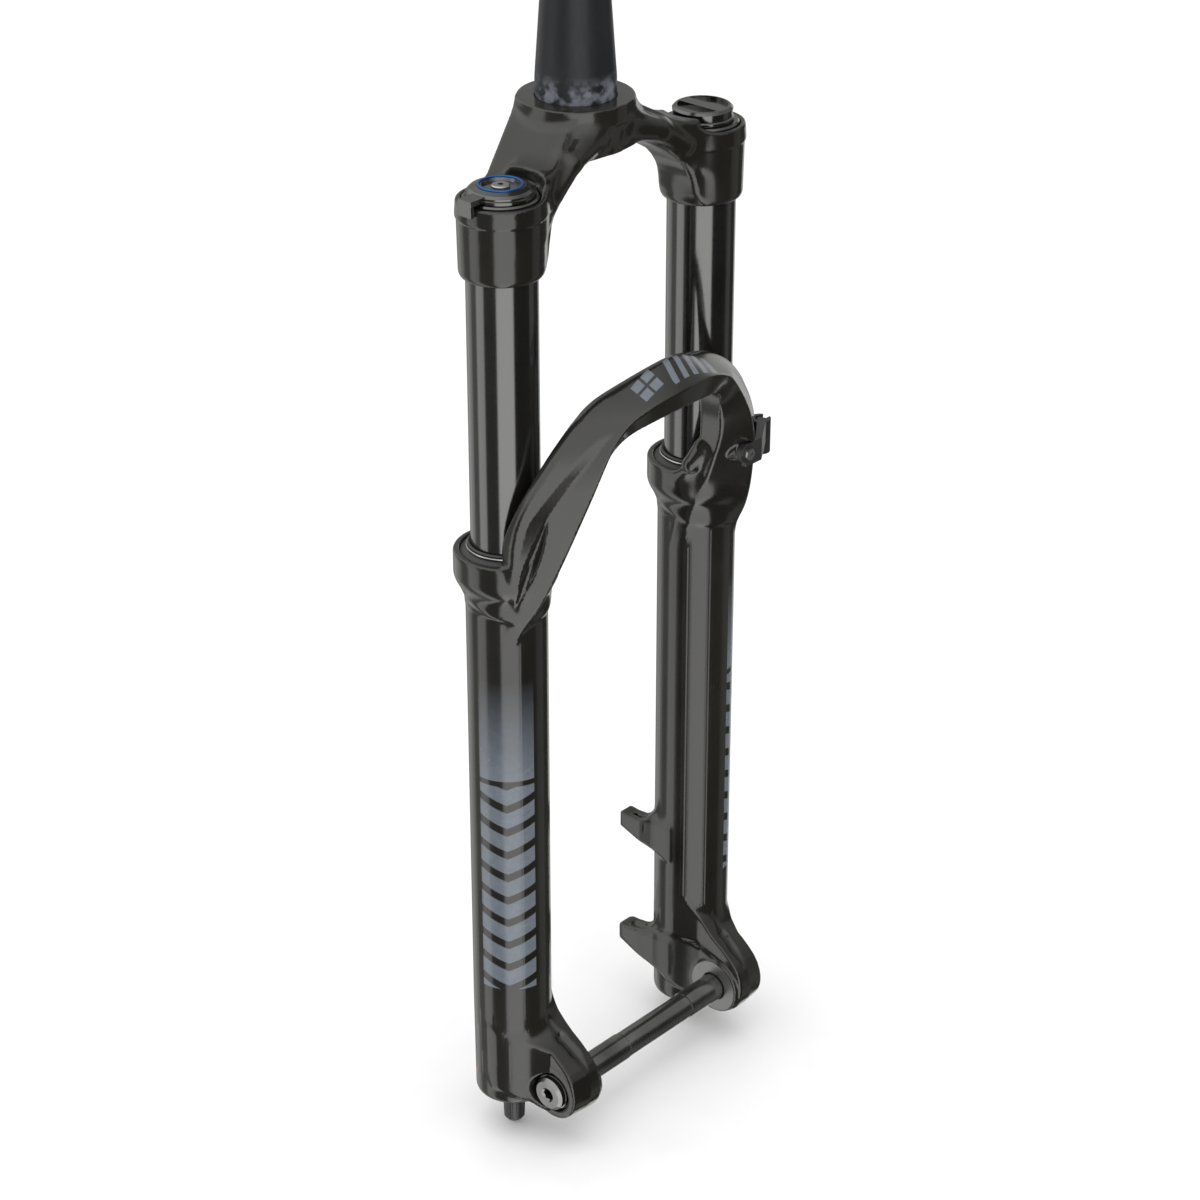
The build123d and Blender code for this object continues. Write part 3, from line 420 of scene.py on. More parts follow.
def leg(side):
    """Tube that narrows a little over its last stretch; it ends at the collar's top."""
    bottom = LEG_BOTTOMS[side]

    def shape(p):
        radius = LEG_FOOT_R + (LEG_R - LEG_FOOT_R) * np.clip((p[2] - bottom) / FOOT_TAPER, 0, 1)
        wall = upright(p, LEG_X, side * LEG_Y) - radius
        return np.maximum(smooth_max(wall, bottom - p[2], FOOT_EDGE), p[2] - COLLAR_TOP)
    return shape


# The collar swells out of the leg from COLLAR_START; below that it sinks into the leg.
COLLAR_START = -239.0
COLLAR_SWELL = 17.0
COLLAR_SUNK = 1.2
COLLAR_SINK = 0.8
COLLAR_EDGE = 1.6


def collar(side):
    def shape(p):
        t = np.clip((p[2] - COLLAR_START) / COLLAR_SWELL, 0, 1)
        start = LEG_R - COLLAR_SUNK
        radius = start + (COLLAR_R - start) * t * t * (3 - 2 * t)
        radius = radius - COLLAR_SINK * np.maximum(COLLAR_START - p[2], 0)
        wall = upright(p, LEG_X, side * LEG_Y) - radius
        return smooth_max(wall, p[2] - COLLAR_TOP, COLLAR_EDGE)
    return shape


SKIRT_PROUD = 1.3
SKIRT_TOP = -225.0
SKIRT_LOW = -236.5
SKIRT_FALL = 0.35
# Turns a height above the leaning edge into a distance from it.
SKIRT_SHARE = 0.94


def shoulder(side):
    """Slightly proud skirt under the collar whose lower edge falls towards the front."""
    def shape(p):
        wall = leg_rod(side, LEG_R)(p) - SKIRT_PROUD
        edge = SKIRT_LOW - SKIRT_FALL * (p[0] - LEG_X) - p[2]
        return smooth_max(smooth_max(wall, edge * SKIRT_SHARE, 3.0), p[2] - SKIRT_TOP, 2)
    return shape


def chain(side, path, k=2.0):
    """Rod of changing radius through (x, y, z, radius) points on one side."""
    def shape(p):
        best = None
        for a, b in zip(path, path[1:]):
            rod = capsule(p, (a[0], side * a[1], a[2]), (b[0], side * b[1], b[2]), a[3], b[3])
            best = rod if best is None else smooth_min(best, rod, k)
        return best
    return shape


# The strand joins each arm to its collar behind the slot.
STRAND = [(39, 51.5, -193, 3.4), (33, 50, -204, 3.4), (24.5, 50.2, -215, 2.2)]
# The slot in each arm's outer face: a leaf drawn in the face (distance along it, height), whose
# mouth (distance out, lean per millimetre of height) widens outwards.
SLOT_FACING = 0.7
SLOT_LEAF = rounded([
    (25.2, -179), (29.6, -188), (33.8, -198), (37.8, -208), (41.4, -219), (42.8, -230), (42.3, -235),
    (38.2, -228), (34.2, -217), (30.4, -206), (27.4, -195), (25.4, -185),
], 1)
SLOT_MOUTH = (92.6, 0.105)
SLOT_MOUTH_Z = -183.0
SLOT_DEPTH = 5.0
SLOT_DRAFT = 0.3
SLOT_EDGE = 1.0


def outer_slot(side):
    def shape(p):
        x, y, z = p
        along = side * y * math.cos(SLOT_FACING) - x * math.sin(SLOT_FACING)
        out = side * y * math.sin(SLOT_FACING) + x * math.cos(SLOT_FACING)
        depth = SLOT_MOUTH[0] + SLOT_MOUTH[1] * (z - SLOT_MOUTH_Z) - out
        wall = outline(along, z, SLOT_LEAF) + SLOT_DRAFT * np.maximum(depth, 0)
        return smooth_max(wall, depth - SLOT_DEPTH, SLOT_EDGE)
    return shape


# Rounding of the dropouts' and brake posts' edges.
PLATE_EDGE = 1.2
FLANGE_EDGE = 1.4

WEB_OUTLINE = rounded([
    (8, -470), (27, -475), (37.5, -483), (46, -491.5), (57, -498.8), (65.5, -507), (68.6, -516),
    (68.2, -525), (63.5, -533), (54, -537.3), (44, -536.8), (36, -534.5), (8, -532.5),
], 1)
WEB_INNER_Y = 58.0
WEB_FULL_Y = 66.5
# Behind WEB_BEND_X the web's outer edge is cut back more and its outer face stands further out.
WEB_BEND_X = 50.0
WEB_TAPER = 0.16
WEB_TAPER_GROWTH = 0.016
WEB_TAPER_REACH = 20
WEB_FLARE = 0.55
WEB_FLARE_REACH = 24


def web(side):
    """Plate from the leg to the lug; its outer face is a little smaller than its inner one."""
    def shape(p):
        x, y, z = p
        depth = side * y
        taper = WEB_TAPER + WEB_TAPER_GROWTH * np.clip(WEB_BEND_X - x, 0, WEB_TAPER_REACH)
        body = outline(x, z, WEB_OUTLINE) + np.maximum(depth - WEB_FULL_Y, 0) * taper
        outer = LUG_OUTER_Y + WEB_FLARE * np.clip(WEB_BEND_X - x, 0, WEB_FLARE_REACH)
        return smooth_max(body, slab(depth, WEB_INNER_Y, outer), PLATE_EDGE)
    return shape


# Rods along the groove in each web's upper edge.
WEB_VALLEY = [
    (41, 68, -484.5, 1.4), (49, 67, -492.2, 3.0), (58, 66, -498.2, 3.0), (65, 65.5, -505.5, 1.0),
]

FLANGE_OUTLINE = rounded([
    (-2, -503), (12, -499.3), (34, -499.6), (45, -502.5), (56, -506.5), (66, -513), (66.5, -525),
    (62, -533), (52, -537), (38, -536), (22, -530), (10, -523), (-2, -518),
], 1)
BRAKE_FLANGE_OUTLINE = np.concatenate([[(-12, -513), (-12, -505.8)], FLANGE_OUTLINE[2:-2]])
FLANGE_INNER_Y = LUG_FACE_Y + 0.8
FLANGE_OUTER_YS = {RIGHT: 61.5, LEFT: 59.9}
FLANGE_SLOPE_START = 40.0
FLANGE_SLOPE_LENGTH = 30.0
FLANGE_SLOPE_DEPTH = 5.4


def flange(side):
    """Plate between the leg and the hub face; the left one's inner face slopes to the brake post."""
    points = FLANGE_OUTLINE if side == RIGHT else BRAKE_FLANGE_OUTLINE

    def shape(p):
        x, y, z = p
        inner = FLANGE_INNER_Y
        if side == LEFT:
            slope = np.clip((FLANGE_SLOPE_START - x) / FLANGE_SLOPE_LENGTH, 0, 1)
            inner = inner - FLANGE_SLOPE_DEPTH * slope
        plate = slab(side * y, inner, FLANGE_OUTER_YS[side])
        return smooth_max(outline(x, z, points), plate, FLANGE_EDGE)
    return shape


def lug(side):
    def shape(p):
        return smooth_max(axle_rod(LUG_R)(p), slab(side * p[1], LUG_FACE_Y, LUG_OUTER_Y), PLATE_EDGE)
    return shape


POST_HALF = 4.6
POST_WIDTH = 4.9
# Behind its face a post widens on the outer side and gets thinner on the inner one.
POST_FLARE_X = 8.0
POST_FLARE = 0.06
POST_THINNING_X = 14.0
POST_THINNING = 0.2
POST_TOP_THINNING = 0.3
POST_HOLE_R = 3.0
POST_HOLE_DEPTH = 16.0


def post(z):
    """Brake post that flows into the leg above and has a slanting underside."""
    top, foot = z + POST_HALF, z - POST_HALF
    side_view = np.array([
        (POST_FACE_X, foot), (POST_FACE_X, top), (POST_FACE_X + 6, top - 0.6), (POST_FACE_X + 12, top - 0.3),
        (POST_FACE_X + 18, top + 2.2), (POST_FACE_X + 23, top + 7), (POST_FACE_X + 27, top + 14),
        (LEG_X, top + 15), (LEG_X, foot - 9), (POST_FACE_X + 24, foot - 8.4),
    ], float)

    def shape(p):
        body = outline(p[0], p[2], side_view)
        behind = p[0] - POST_FACE_X
        outer = p[1] - POST_Y - (POST_WIDTH + POST_FLARE * np.maximum(behind - POST_FLARE_X, 0))
        inner = POST_Y - p[1] - POST_WIDTH + POST_THINNING * np.maximum(behind - POST_THINNING_X, 0)
        inner = inner + POST_TOP_THINNING * np.maximum(p[2] - top, 0)
        return smooth_max(body, np.maximum(outer, inner), PLATE_EDGE)
    return shape


def post_hole(z):
    def shape(p):
        wall = np.sqrt((p[1] - POST_Y) ** 2 + (p[2] - z) ** 2) - POST_HOLE_R
        return np.maximum(wall, p[0] - POST_FACE_X - POST_HOLE_DEPTH)
    return shape


def post_scoop(z):
    """Hollow on a post's upper side, just behind its face."""
    return chain(LEFT, [(POST_FACE_X + 7.5, POST_Y, z + 6.4, 2.6),
                        (POST_FACE_X + 13, POST_Y, z + 6.9, 3.0)])


GUIDE_BOSS_DEPTH = 14.0
GUIDE_BOSS_EDGE = 0.6


def guide_boss(p):
    wall = np.sqrt((p[1] - GUIDE_Y) ** 2 + (p[2] - GUIDE_Z) ** 2) - GUIDE_BOSS_R
    return smooth_max(wall, slab(p[0], GUIDE_X - GUIDE_BOSS_DEPTH, GUIDE_X), GUIDE_BOSS_EDGE)


# Room for the hose guide: heights of its plate and of the hose, where the plate starts and bends
# back, and how far (x, y) the bent part runs.
GUIDE_PLATE_ZS = (-201.6, -187.8)
HOSE_ZS = (-209.6, -189.9)
HOSE_ROOM_R = 6.0
GUIDE_START_Y = GUIDE_Y - 8.0
GUIDE_BEND_Y = GUIDE_Y + 9.6
GUIDE_BEND_RUN = (-13.4, 17.7)
GUIDE_BRIDGE_YS = (GUIDE_Y + 9.0, 98.0)


def guide_seat(p):
    """Room for the hose guide: a flat on the ridge, its bent bridge and the hose channel."""
    x, y, z = p
    plate = slab(z, *GUIDE_PLATE_ZS)
    flat = np.maximum(np.maximum(GUIDE_X - x, slab(y, GUIDE_START_Y, GUIDE_BEND_Y)), plate)
    run_x, run_y = GUIDE_BEND_RUN
    lean = ((x - GUIDE_X) * run_y - (y - GUIDE_BEND_Y) * run_x) / -math.hypot(run_x, run_y)
    bridge = np.maximum(np.maximum(lean, slab(y, *GUIDE_BRIDGE_YS)), plate)
    channel = np.maximum(upright(p, HOSE_X, HOSE_Y) - HOSE_ROOM_R, slab(z, *HOSE_ZS))
    return np.minimum(np.minimum(flat, bridge), channel)


FOOT_RECESS_R = 10.0
FOOT_RECESS_DEPTH = 5.0
FOOT_HOLE_R = 4.3
SEAL_POCKET_DEPTH = 8.0
AXLE_HOLE_R = 7.6
AXLE_HEAD_R = 11.2
AXLE_HEAD_Y = 75.2
CASTING_BOX = ((-17, -102, -546), (82, 102, -115))
CASTING_STEP = 0.85


def join_arm(v, side):
    """Strand and slot of one arm."""
    v.join(chain(side, STRAND), side_box((2, 64), (30, 74), (-244, -160), side), fillet=6)
    v.cut(outer_slot(side), side_box((30, 66), (54, 102), (-244, -172), side), edge=0.8)


def join_leg(v, side):
    """One leg with its collar, skirt and dropout, still solid."""
    v.join(collar(side), side_box((-14, 54), (41, 105), (-250, -204), side), fillet=3.0)
    v.join(leg(side), side_box((-6, 46), (41, 105), (-546, -204), side), fillet=3.5)
    v.join(shoulder(side), side_box((-6, 46), (41, 105), (-266, -220), side), fillet=2.2)
    v.join(web(side), side_box((0, 76), (48, 96), (-546, -456), side), fillet=5)
    v.cut(chain(side, WEB_VALLEY), side_box((34, 72), (48, 96), (-512, -478), side), edge=1.6)
    v.join(flange(side), side_box((-17, 76), (48, 96), (-546, -490), side), fillet=2.5)
    v.join(lug(side), side_box((30, 72), (48, 96), (-544, -498), side), fillet=1.2)


def bore_leg(v, side):
    """The leg's bore, seal pocket, foot recess with its bolt hole, and axle hole."""
    v.cut(above(leg_rod(side, LEG_BORE_R), LEG_FLOOR),
          side_box((-4, 42), (43, 103), (-522, -200), side), edge=0.8)
    v.cut(above(leg_rod(side, SEAL_POCKET_R), COLLAR_TOP - SEAL_POCKET_DEPTH),
          side_box((-8, 46), (43, 103), (-222, -150), side), edge=0.8)
    v.cut(below(leg_rod(side, FOOT_RECESS_R), LEG_BOTTOMS[side] + FOOT_RECESS_DEPTH),
          side_box((4, 34), (43, 103), (-546, -526), side), edge=0.8)
    v.cut(leg_rod(side, FOOT_HOLE_R), side_box((12, 26), (65, 81), (-546, -510), side), edge=0.4)
    v.cut(axle_rod(AXLE_HOLE_R), side_box((40, 62), (50, 84), (-532, -510), side), edge=0.6)


def lower_casting():
    v = Volume(*CASTING_BOX, CASTING_STEP)
    v.join(arch, ((14, -102, -276), (82, 102, -115)))
    for side in (RIGHT, LEFT):
        join_arm(v, side)
    for side in (RIGHT, LEFT):
        join_leg(v, side)
    for z in POST_ZS:
        v.join(post(z), ((-17, 42, z - 24), (28, 72, z + 32)), fillet=4)
    for z in POST_ZS:
        v.cut(post_scoop(z), ((-17, 46, z), (8, 64, z + 14)), edge=1.2)
    v.join(guide_boss, ((36, 50, -206), (66, 76, -182)), fillet=1.6)
    v.cut(guide_seat, ((34, 48, -214), (82, 102, -184)))
    for side in (RIGHT, LEFT):
        bore_leg(v, side)
    v.cut(lambda p: np.maximum(axle_rod(AXLE_HEAD_R)(p), p[1] + AXLE_HEAD_Y),
          ((36, -84, -536), (66, -72, -506)), edge=0.8)
    for z in POST_ZS:
        v.cut(post_hole(z), ((-17, 50, z - 5), (4, 60, z + 5)))
    return v


# ------------------------------------------------------------------ the crown
CROWN_FRONT = rounded(mirrored([
    (0, 0), (18, 0), (40, -10), (65, -26), (73, -28), (73, -46), (60, -46), (54, -42), (44, -35),
    (34, -29), (22, -24), (0, -24),
]), 1)
CROWN_PLAN_HALF = [
    (-20, 0), (-19, 21.7), (-9.2, 45), (-2.5, 61), (4, 73), (36, 73), (34, 60), (25, 40),
    (18, 22), (24, 12), (28, 0),
]
CROWN_PLAN = rounded(CROWN_PLAN_HALF + [(x, -y) for x, y in reversed(CROWN_PLAN_HALF[1:-1])], 1)
# The arms' upper face: its height in the middle, and how it falls forwards and outwards.
CROWN_FACE_Z = 9.3
CROWN_FACE_FALL = (0.117, 0.576)
CROWN_EDGE = 1.4


def crown_arms(p):
    x, y, z = p
    body = smooth_max(outline(y, z, CROWN_FRONT), outline(x, y, CROWN_PLAN), CROWN_EDGE)
    forwards, outwards = CROWN_FACE_FALL
    top = (z - CROWN_FACE_Z + forwards * x + outwards * np.abs(y)) / math.hypot(1, forwards, outwards)
    return smooth_max(body, top, CROWN_EDGE)


GUSSET_FRONT = rounded([
    (24, -20), (30, -27), (40, -34.5), (48, -43.5), (52.5, -52), (54.8, -61), (60, -62),
    (73, -62), (73, -20),
], 1)
GUSSET_BACK_X = 7.0
GUSSET_FRONT_X = 23.0
GUSSET_SWELL = 8.6
GUSSET_SWELL_YS = (28, 53)
GUSSET_EDGE = 3.0


def gusset(side):
    """Web under each arm that widens forwards as it nears the socket."""
    def shape(p):
        x, y, z = p
        start, end = GUSSET_SWELL_YS
        reach = GUSSET_FRONT_X + GUSSET_SWELL * np.clip((np.abs(y) - start) / (end - start), 0, 1)
        front = outline(side * y, z, GUSSET_FRONT)
        return smooth_max(front, slab(x, GUSSET_BACK_X, reach), GUSSET_EDGE)
    return shape


# The socket's outside: (height, radius), with a slightly wider band round its top.
SOCKET_PROFILE = [
    (SOCKET_BOTTOM, 20.0), (SOCKET_BOTTOM + 2.5, 20.8), (SOCKET_BAND - 0.5, 21.3), (SOCKET_BAND, 22.1),
    (SOCKET_TOP, 21.5),
]
SOCKET_EDGE = 1.4


def socket(side):
    def shape(p):
        radius = np.interp(p[2], *zip(*SOCKET_PROFILE)).astype(np.float32)
        wall = upright(p, LEG_X, side * LEG_Y) - radius
        return smooth_max(wall, slab(p[2], SOCKET_BOTTOM, SOCKET_TOP), SOCKET_EDGE)
    return shape


# Rods along the front of each arm, from the platform to the socket.
CROWN_CHEEK = [(20, 12, -14, 8.5), (26, 32, -20.5, 5.5), (29, 47, -31.5, 4.5)]
PLATFORM_BAND = 8.5
PLATFORM_EDGE = 0.8
WAIST_R = 24.5
WAIST_FLARE = 4.3
WAIST_Z = -19.0
WAIST_HEIGHT = 11.0
WAIST_TOP = -6.0
WAIST_EDGE = 6.0


def platform(p):
    """Race platform: a short band over a waist that curves in towards the arms."""
    r, z = upright(p, 0, 0), p[2]
    waist = WAIST_R + WAIST_FLARE * np.clip((z - WAIST_Z) / WAIST_HEIGHT, 0, 1) ** 2
    band = smooth_max(r - PLATFORM_R, slab(z, -PLATFORM_BAND, 0), PLATFORM_EDGE)
    return np.minimum(band, smooth_max(r - waist, slab(z, -PLATFORM_DEPTH, WAIST_TOP), WAIST_EDGE))


SOCKET_ROOM_R = 20.4
TUBE_FIT = 0.1
# How far the hole's edge lies inside the steerer's wall.
STEERER_OVERLAP = 0.5
CROWN_BOX = ((-31, -96, -69), (48, 96, 3))
CROWN_STEP = 0.9


def bore_crown(v):
    """Flat platform top, tube bores with their cap pockets, and the steerer's hole."""
    v.cut(lambda p: np.maximum(upright(p, 0, 0) - PLATFORM_R, -p[2]),
          ((-31, -36, -2), (36, 36, 3)), edge=0.6)
    for side in (RIGHT, LEFT):
        v.cut(leg_rod(side, TUBE_R + TUBE_FIT), side_box((0, 38), (53, 93), (-69, -26), side), edge=0.4)
        v.cut(above(leg_rod(side, CAP_POCKET_R), CAP_SEAT),
              side_box((-4, 42), (49, 97), (-34, 3), side), edge=0.8)
    v.cut(lambda p: upright(p, 0, 0) - RACE_SEAT_R + STEERER_OVERLAP, ((-22, -22, -28), (22, 22, 3)))


def crown():
    v = Volume(*CROWN_BOX, CROWN_STEP)
    v.join(crown_arms, CROWN_BOX)
    v.join(platform, ((-31, -44, -34), (44, 44, 3)), fillet=5)
    for side in (RIGHT, LEFT):
        v.join(chain(side, CROWN_CHEEK), ((2, -70, -56), (46, 70, 0)), fillet=6)
    for side in (RIGHT, LEFT):
        v.join(gusset(side), side_box((2, 40), (20, 96), (-66, -14), side), fillet=4)
        v.cut(above(leg_rod(side, SOCKET_ROOM_R), SOCKET_TOP),
              side_box((-6, 44), (20, 96), (-32, 3), side), edge=1.0)
        v.join(socket(side), side_box((-8, 46), (47, 99), (-69, -24), side), fillet=5)
    bore_crown(v)
    return v


# ------------------------------------------------------------------ meshes
def make_piece(name, volume, body, node):
    """Mesh of a volume's surface that rides a body in place of one CAD node."""
    pts, quads, normals = volume.surface()
    mesh = bpy.data.meshes.new(name)
    mesh.from_pydata((pts * MM).tolist(), [], quads.tolist())
    mesh.shade_smooth()
    mesh.normals_split_custom_set_from_vertices(normals.tolist())
    obj = bpy.data.objects.new(name, mesh)
    bpy.context.collection.objects.link(obj)
    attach(obj, body)
    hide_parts(node)
    return obj


casting = make_piece("lower_legs", lower_casting(), "lowers", "lower_casting")
crown_piece = make_piece("crown_forging", crown(), "upper", "crown")


# ------------------------------------------------------------------ materials
class Tree:
    """Short calls that add nodes to one material or world."""

    def __init__(self, owner):
        owner.use_nodes = True
        self.tree = owner.node_tree
        self.tree.nodes.clear()

    def add(self, kind, inputs=(), **settings):
        node = self.tree.nodes.new("ShaderNode" + kind)
        for key, value in settings.items():
            setattr(node, key, value)
        for key, value in dict(inputs).items():
            if isinstance(value, bpy.types.NodeSocket):
                self.tree.links.new(value, node.inputs[key])
            else:
                node.inputs[key].default_value = value
        return node

    def math(self, operation, *values, clamp=False):
        node = self.add("Math", dict(enumerate(values)), operation=operation, use_clamp=clamp)
        return node.outputs[0]

    def between(self, value, low, high, soft):
        """1 where value lies from low to high, with soft borders."""
        up = self.add("MapRange", {"Value": value, "From Min": low - soft, "From Max": low + soft})
        down = self.add("MapRange", {"Value": value, "From Min": high + soft, "From Max": high - soft})
        return self.math("MULTIPLY", up.outputs[0], down.outputs[0])

    def both(self, *masks):
        total = masks[0]
        for mask in masks[1:]:
            total = self.math("MULTIPLY", total, mask)
        return total

    def ranged(self, value, low, high, start=0.3, stop=0.7):
        """From low to high while value goes from start to stop; noise mostly lies in 0.3 to 0.7."""
        node = self.add("MapRange", {"Value": value, "From Min": start, "From Max": stop,
                                     "To Min": low, "To Max": high})
        return node.outputs[0]

    def mixed(self, factor, a, b):
        node = self.add("Mix", {0: factor, 6: a, 7: b}, data_type="RGBA")
        return node.outputs[2]

    def noise(self, scale, detail=3.0, stretch=(1, 1, 1)):
        place = self.add("TexCoord").outputs["Object"]
        place = self.add("Mapping", {"Vector": place, "Scale": stretch}).outputs[0]
        node = self.add("TexNoise", {"Vector": place, "Scale": scale, "Detail": detail})
        return node.outputs[0]

    def bump(self, height, strength, distance, normal=None):
        inputs = {"Height": height, "Strength": strength, "Distance": distance}
        if normal is not None:
            inputs["Normal"] = normal
        return self.add("Bump", inputs).outputs[0]

    def surface(self, color, roughness, normal, **constants):
        inputs = {"Base Color": color, "Roughness": roughness, "Normal": normal}
        inputs.update({key.replace("_", " "): value for key, value in constants.items()})
        shader = self.add("BsdfPrincipled", inputs)
        out = self.add("OutputMaterial")
        self.tree.links.new(shader.outputs[0], out.inputs[0])


def rgba(color, gain=1.0):
    return tuple(c * gain for c in color) + (1.0,)


PATCH_SCALE = 35.0
GRAIN_HEIGHT = 0.0004
# Noise scale along each axis for scuffs that run up and down, and the noise values that show.
SCUFF_STRETCH = (1.0, 0.35, 0.06)
SCUFF_WEAR = (0.66, 0.74)


def finish(name, color, rough, metal=0.0, ior=1.5, grain=300.0, stretch=(1, 1, 1), relief=0.05,
           vary=0.35, scuffs=0.0):
    """Plain finish: colour and roughness drift in patches, over a fine grain with bump."""
    material = bpy.data.materials.new(name)
    t = Tree(material)
    patches = t.noise(PATCH_SCALE)
    fine = t.noise(grain, 2.0, stretch)
    tone = t.mixed(t.ranged(patches, 0, 1), rgba(color, 1 - vary), rgba(color, 1 + vary))
    roughness = t.math("ADD", t.ranged(patches, rough * 0.85, rough * 1.15), t.ranged(fine, -0.03, 0.03))
    if scuffs:
        marks = t.noise(420.0, 4.0, SCUFF_STRETCH)
        worn = t.ranged(marks, 0, 1, *SCUFF_WEAR)
        roughness = t.math("ADD", roughness, t.math("MULTIPLY", worn, scuffs), clamp=True)
    t.surface(tone, roughness, t.bump(fine, relief, GRAIN_HEIGHT), Metallic=metal, IOR=ior)
    return material


BLACK = (0.0125, 0.012, 0.0098)
BARE_METAL = (0.17, 0.17, 0.165)
PRINT = (0.135, 0.155, 0.185)
SPOT_RED = (0.35, 0.02, 0.015)
STEERER_DARK = (0.010, 0.011, 0.013)
STEERER_PALE = (0.016, 0.017, 0.020)
BLOOM = (0.15, 0.16, 0.185)


def coordinates(t):
    """Millimetres along X, Y and Z, and the distance to either side of the middle plane."""
    split = t.add("SeparateXYZ", {0: t.add("TexCoord").outputs["Object"]}).outputs
    x, y, z = (t.math("MULTIPLY", s, 1 / MM) for s in split)
    return x, y, z, t.math("ABSOLUTE", y)


# Angles round the leg, in degrees from +X outwards, between which the print lies.
PRINT_ANGLES = (9, 93)
CHEVRON_FOLD = 0.9
CHEVRON_BAR = (0.14, 0.8)


def leg_print(t, x, wide, z):
    """Fading band and a column of chevrons on the outer side of each leg."""
    angle = t.math("ARCTAN2", t.math("SUBTRACT", wide, LEG_Y), t.math("SUBTRACT", x, LEG_X))
    degrees = t.math("MULTIPLY", angle, 180 / math.pi)
    inside = t.between(degrees, *PRINT_ANGLES, 0.4)
    across = t.ranged(degrees, 0, 1, *PRINT_ANGLES)
    band = t.both(t.ranged(z, 0, 1, BAND_TOP, BAND_SOLID), t.between(z, BAND_END, 0, 0.1))
    rows_per_mm = CHEVRON_ROWS / (CHEVRONS_TOP - CHEVRONS_END)
    row = t.math("MULTIPLY", t.math("SUBTRACT", CHEVRONS_TOP, z), rows_per_mm)
    fold = t.math("ABSOLUTE", t.math("SUBTRACT", across, 0.5))
    within = t.math("FRACT", t.math("ADD", row, t.math("MULTIPLY", fold, CHEVRON_FOLD)))
    bars = t.both(t.between(within, *CHEVRON_BAR, 0.02), t.between(z, CHEVRONS_END, CHEVRONS_TOP, 0.2))
    outside = t.between(wide, LEG_Y - 2, LEG_Y + 30, 0.1)
    return t.both(t.math("MAXIMUM", band, bars), inside, outside)


# Print on the arch: a grid of two by two cells and a row of slanted bars.
ARCH_TOP_ZS = (-133, -115)
GRID_XS = (58, 70)
GRID_YS = (-27, -13)
BARS_XS = (61, 73)
BARS_YS = (-9, 26)
BARS_PITCH = 7.2
BARS_LEAN = 0.35


def repeated(t, value, start, pitch, low, high, soft):
    """1 within the share from low to high of every pitch, counted from start."""
    turns = t.math("DIVIDE", t.math("SUBTRACT", value, start), pitch)
    return t.between(t.math("FRACT", turns), low, high, soft)


def arch_print(t, x, y, z):
    """Small square grid and slanted bars on the top of the arch."""
    on_top = t.between(z, *ARCH_TOP_ZS, 0.2)
    square = t.both(t.between(y, *GRID_YS, 0.1), t.between(x, *GRID_XS, 0.1))
    cells = t.both(repeated(t, y, GRID_YS[0], (GRID_YS[1] - GRID_YS[0]) / 2, 0.1, 0.9, 0.02),
                   repeated(t, x, GRID_XS[0], (GRID_XS[1] - GRID_XS[0]) / 2, 0.12, 0.88, 0.02))
    lean = t.math("ADD", y, t.math("MULTIPLY", x, BARS_LEAN))
    bars = t.both(repeated(t, lean, 0, BARS_PITCH, 0.2, 0.72, 0.03),
                  t.between(y, *BARS_YS, 0.1), t.between(x, *BARS_XS, 0.1))
    return t.both(on_top, t.math("MAXIMUM", t.both(square, cells), bars))


# Plain red spot low on the right leg, and how deep the bare machined faces reach.
SPOT_XS = (4.5, 8)
SPOT_YS = (-95, -84)
SPOT_ZS = (-523, -519.5)
HUB_SKIN = 0.3
HUB_RIM = 0.8
POST_SKIN = 0.25


def machined(t, x, z, wide):
    """1 on the hub faces and on the brake posts' faces."""
    dx, dz = t.math("SUBTRACT", x, AXLE_X), t.math("SUBTRACT", z, AXLE_Z)
    reach = t.math("SQRT", t.math("ADD", t.math("MULTIPLY", dx, dx), t.math("MULTIPLY", dz, dz)))
    hub = t.both(t.between(wide, 0, LUG_FACE_Y + HUB_SKIN, 0.05),
                 t.between(reach, -1, LUG_R - HUB_RIM, 0.1))
    seat = t.between(x, -40, POST_FACE_X + POST_SKIN, 0.05)
    return t.math("MAXIMUM", hub, seat)


# Gloss paint: roughness of its patches, what wear, ink and bare metal add, and heights in metres.
GLOSS_ROUGHNESS = (0.13, 0.19)
WORN_ROUGHER = 0.12
INK_ROUGHER = 0.12
BARE_ROUGHER = 0.22
SCRATCH_STRETCH = (1.0, 0.4, 0.08)
SCRATCH_WEAR = (0.67, 0.75)
SCRATCH_HEIGHT = 0.0003
PEEL_HEIGHT = 0.0006


